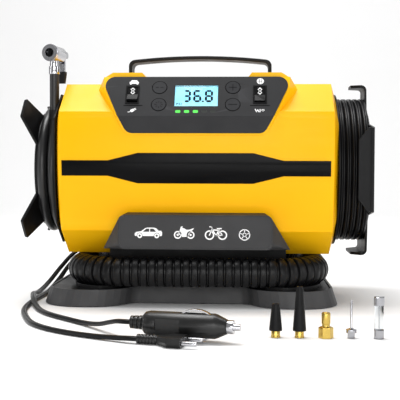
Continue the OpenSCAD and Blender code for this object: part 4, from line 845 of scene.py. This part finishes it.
def print_console():
    """The pictures over and under the rockers, and the lines and rings round the controls."""
    white = car_front_picture() + [disc(*BALL, 3.1)] + plug_picture() + valve_picture()
    printed("console_pictures", white, on_panel(ON_PANEL), WHITE_PRINT)
    seams = ((((-2.6, 0), (2.6, 0)), HAIRLINE), (((-0.7, 2.4), (-0.7, -2.4)), 0.4),
             (((0.8, 2.4), (0.8, -2.4)), 0.4))
    dark = [stroke(shifted(ends, BALL), width) for ends, width in seams]
    printed("console_picture_lines", dark, on_panel(OVER_PANEL), PANEL)
    lines = [stroke([(low, LINE_V), (high, LINE_V)], 0.9) for low, high in LINES_U]
    lines += [hoop(u, v, 6.75, HAIRLINE, 48) for u in (-BUTTON_U, BUTTON_U) for v in BUTTON_V]
    printed("console_lines", lines, on_panel(LINE_ON_PANEL), INK)


def print_buttons():
    """Rays for the light, two dashes for the unit, a plus and a minus."""
    upper, lower = BUTTON_V
    rays = [stroke([(-BUTTON_U + r * math.cos(a), lower + r * math.sin(a)) for r in (2.1, 3.4)],
                   HAIRLINE) for a in (math.pi / 4 * k for k in range(8))]
    dashes = [stroke([(-BUTTON_U + low, upper), (-BUTTON_U + high, upper)], THIN)
              for low, high in ((-3.1, -1.0), (0.9, 3.0))]
    plus = [stroke([(BUTTON_U - 3.2, upper), (BUTTON_U + 3.2, upper)], THIN),
            stroke([(BUTTON_U, upper - 3.2), (BUTTON_U, upper + 3.2)], THIN)]
    minus = [stroke([(BUTTON_U - 3.6, lower), (BUTTON_U + 3.6, lower)], 0.6)]
    for key, marks in (("light", rays), ("unit", dashes), ("plus", plus), ("minus", minus)):
        printed(key + "_mark", marks, on_panel(ON_BUTTON), INK, key + "_button")


SEGMENT_ENDS = {
    "a": ((0, 1), (1, 1)), "b": ((1, 1), (1, 0.5)), "c": ((1, 0.5), (1, 0)),
    "d": ((0, 0), (1, 0)), "e": ((0, 0.5), (0, 0)), "f": ((0, 1), (0, 0.5)),
    "g": ((0, 0.5), (1, 0.5)),
}
DIGIT_SEGMENTS = {"3": "abcdg", "6": "acdefg", "8": "abcdefg"}
DIGITS = (("3", -11.1, 6.7), ("6", -2.3, 7.1), ("8", 7.7, 7.1))        # digit, left side, width
DIGIT_V, DIGIT_H, DIGIT_T = 14.4, 12.6, 1.95           # foot, height and thickness of lines
SEGMENT_GAP = 0.22
POINT = (6.2, 15.2)
DISPLAY_CORNERS = [(-18.6, 10.1), (19.2, 10.1), (19.2, 31.9), (-18.6, 31.9)]
UNIT_LINES = [
    [(-16.6, 11.5), (-16.6, 13.5), (-15.5, 13.5), (-15.5, 12.5), (-16.6, 12.5)],
    [(-13.4, 13.5), (-14.5, 13.5), (-14.5, 12.5), (-13.5, 12.5), (-13.5, 11.5), (-14.6, 11.5)],
    [(-12.4, 11.5), (-12.4, 13.5)],
]


def digit(text, left, width):
    """A seven-segment digit."""
    half = DIGIT_T / 2

    def corner(x, y):
        return Vector((left + half + x * (width - DIGIT_T),
                       DIGIT_V + half + y * (DIGIT_H - DIGIT_T)))

    parts = []
    for key in DIGIT_SEGMENTS[text]:
        a, b = (corner(*end) for end in SEGMENT_ENDS[key])
        along = (b - a).normalized()
        side = Vector((-along.y, along.x)) * half
        a, b = a + along * SEGMENT_GAP, b - along * SEGMENT_GAP
        points = (a, a + along * half - side, b - along * half - side,
                  b, b - along * half + side, a + along * half + side)
        parts.append(patch([tuple(p) for p in points]))
    return parts


def print_display():
    """Three digits, the unit of pressure and a thin frame."""
    parts = [segment for place in DIGITS for segment in digit(*place)]
    parts.append(disc(*POINT, 0.85))
    parts += [stroke(line, 0.42) for line in UNIT_LINES]
    printed("display_digits", parts, on_panel(DIGITS_ON_DISPLAY), DIGIT)
    frame_line = stroke(DISPLAY_CORNERS + DISPLAY_CORNERS[:1], 0.35)
    printed("display_edge", [frame_line], on_panel(EDGE_ON_DISPLAY), DIGIT)


ROCKER_BEND_W = 3.06                    # from a rocker's axis to the bend in its face
ROCKER_SLOPE = math.atan2(1.7, 7.0)     # of each half of the face


def print_rocker(name, u, body, tilt):
    """The mark on the upper half of a rocker: two rings with arrows up and down."""
    place = (on_panel(ON_PANEL) @ Matrix.Translation((u, ROCKER_V, ROCKER_AXIS_W))
             @ Matrix.Rotation(math.radians(tilt), 4, "X")
             @ Matrix.Translation((0, 0, ROCKER_BEND_W)) @ Matrix.Rotation(ROCKER_SLOPE, 4, "X"))
    parts = []
    for v in (4.6, 2.2):
        turn = Matrix.Translation((0, v, 0)) @ Matrix.Rotation(math.pi / 2, 4, "Z")
        parts.append(moved(hoop(0, 0, 1.5, 0.5, 6), turn))
    parts.append(stroke([(-1.7, 4.9), (0, 6.6), (1.7, 4.9)], THIN))
    parts.append(stroke([(-1.7, 1.9), (0, 0.3), (1.7, 1.9)], THIN))
    printed(name, parts, place, WHITE_PRINT, body)


print_plate()
print_console()
print_buttons()
print_display()
print_rocker("power_mark", -ROCKER_U, "power_rocker", -10)
print_rocker("pump_mark", ROCKER_U, "pump_rocker", 0)

# ------------------------------------------------------------------ floor, backdrop and light

FLOOR_START, WALL_Y, WALL_TOP, HALF_FLOOR = -3.0, 2.2, 2.6, 4.0        # metres
BEND_R, BEND_STEPS = 0.8, 16


def make_stage():
    """A pale floor that bends up into a backdrop."""
    mat, tree, shader = new_material("pale_floor")
    tone = noise_of(tree, 2.0, 2.0)
    tree.links.new(shaded(tree, tone, (0.9, 0.9, 0.9), 0.01), shader.inputs["Base Color"])
    shader.inputs["Roughness"].default_value = 0.7
    shader.inputs["Specular IOR Level"].default_value = 0.1
    mesh = bpy.data.meshes.new("floor")
    angles = [math.pi / 2 * k / BEND_STEPS for k in range(BEND_STEPS + 1)]
    bend = [(WALL_Y - BEND_R + BEND_R * math.sin(a), BEND_R - BEND_R * math.cos(a))
            for a in angles]
    profile = [(FLOOR_START, 0.0)] + bend + [(WALL_Y, WALL_TOP)]
    verts = [(x, y, z) for y, z in profile for x in (-HALF_FLOOR, HALF_FLOOR)]
    faces = [(2 * i, 2 * i + 1, 2 * i + 3, 2 * i + 2) for i in range(len(profile) - 1)]
    mesh.from_pydata(verts, [], faces)
    mesh.materials.append(mat)
    mesh.polygons.foreach_set("use_smooth", [True] * len(mesh.polygons))
    obj = bpy.data.objects.new("floor", mesh)
    bpy.context.scene.collection.objects.link(obj)


def area_light(name, place, target, size, power):
    """A rectangle of light that faces a target; metres and watts."""
    data = bpy.data.lights.new(name, "AREA")
    data.shape = "RECTANGLE"
    data.size, data.size_y = size
    data.energy = power
    obj = bpy.data.objects.new(name, data)
    bpy.context.scene.collection.objects.link(obj)
    obj.location = place
    obj.rotation_euler = (Vector(target) - Vector(place)).to_track_quat("-Z", "Y").to_euler()


CENTRE, LOW_CENTRE, BACKDROP = (0, 0, 0.12), (0, 0, 0.08), (0, 1.2, 0.3)
AREA_LIGHTS = [                         # name, place, target, size, power
    ("key", (-0.25, 0.05, 1.7), CENTRE, (1.1, 0.7), 17),
    ("front", (0.15, -2.3, 0.75), CENTRE, (1.5, 0.7), 15),
    ("low_front", (0.1, -1.3, 0.06), LOW_CENTRE, (1.3, 0.1), 2.2),
    ("left_strip", (-1.5, -0.5, 0.45), CENTRE, (0.3, 1.0), 3.5),
    ("right_strip", (1.6, -0.5, 0.6), CENTRE, (0.35, 1.0), 4.5),
    ("backdrop", (0.0, 0.35, 2.2), BACKDROP, (2.4, 0.5), 26),
]
WORLD_STRENGTH = 0.36


def make_lights():
    for light in AREA_LIGHTS:
        area_light(*light)
    world = bpy.data.worlds.new("studio")
    world.use_nodes = True
    background = world.node_tree.nodes["Background"]
    background.inputs["Color"].default_value = (1, 1, 1, 1)
    background.inputs["Strength"].default_value = WORLD_STRENGTH
    bpy.context.scene.world = world


make_stage()
make_lights()
bpy.context.scene.view_settings.view_transform = "Standard"
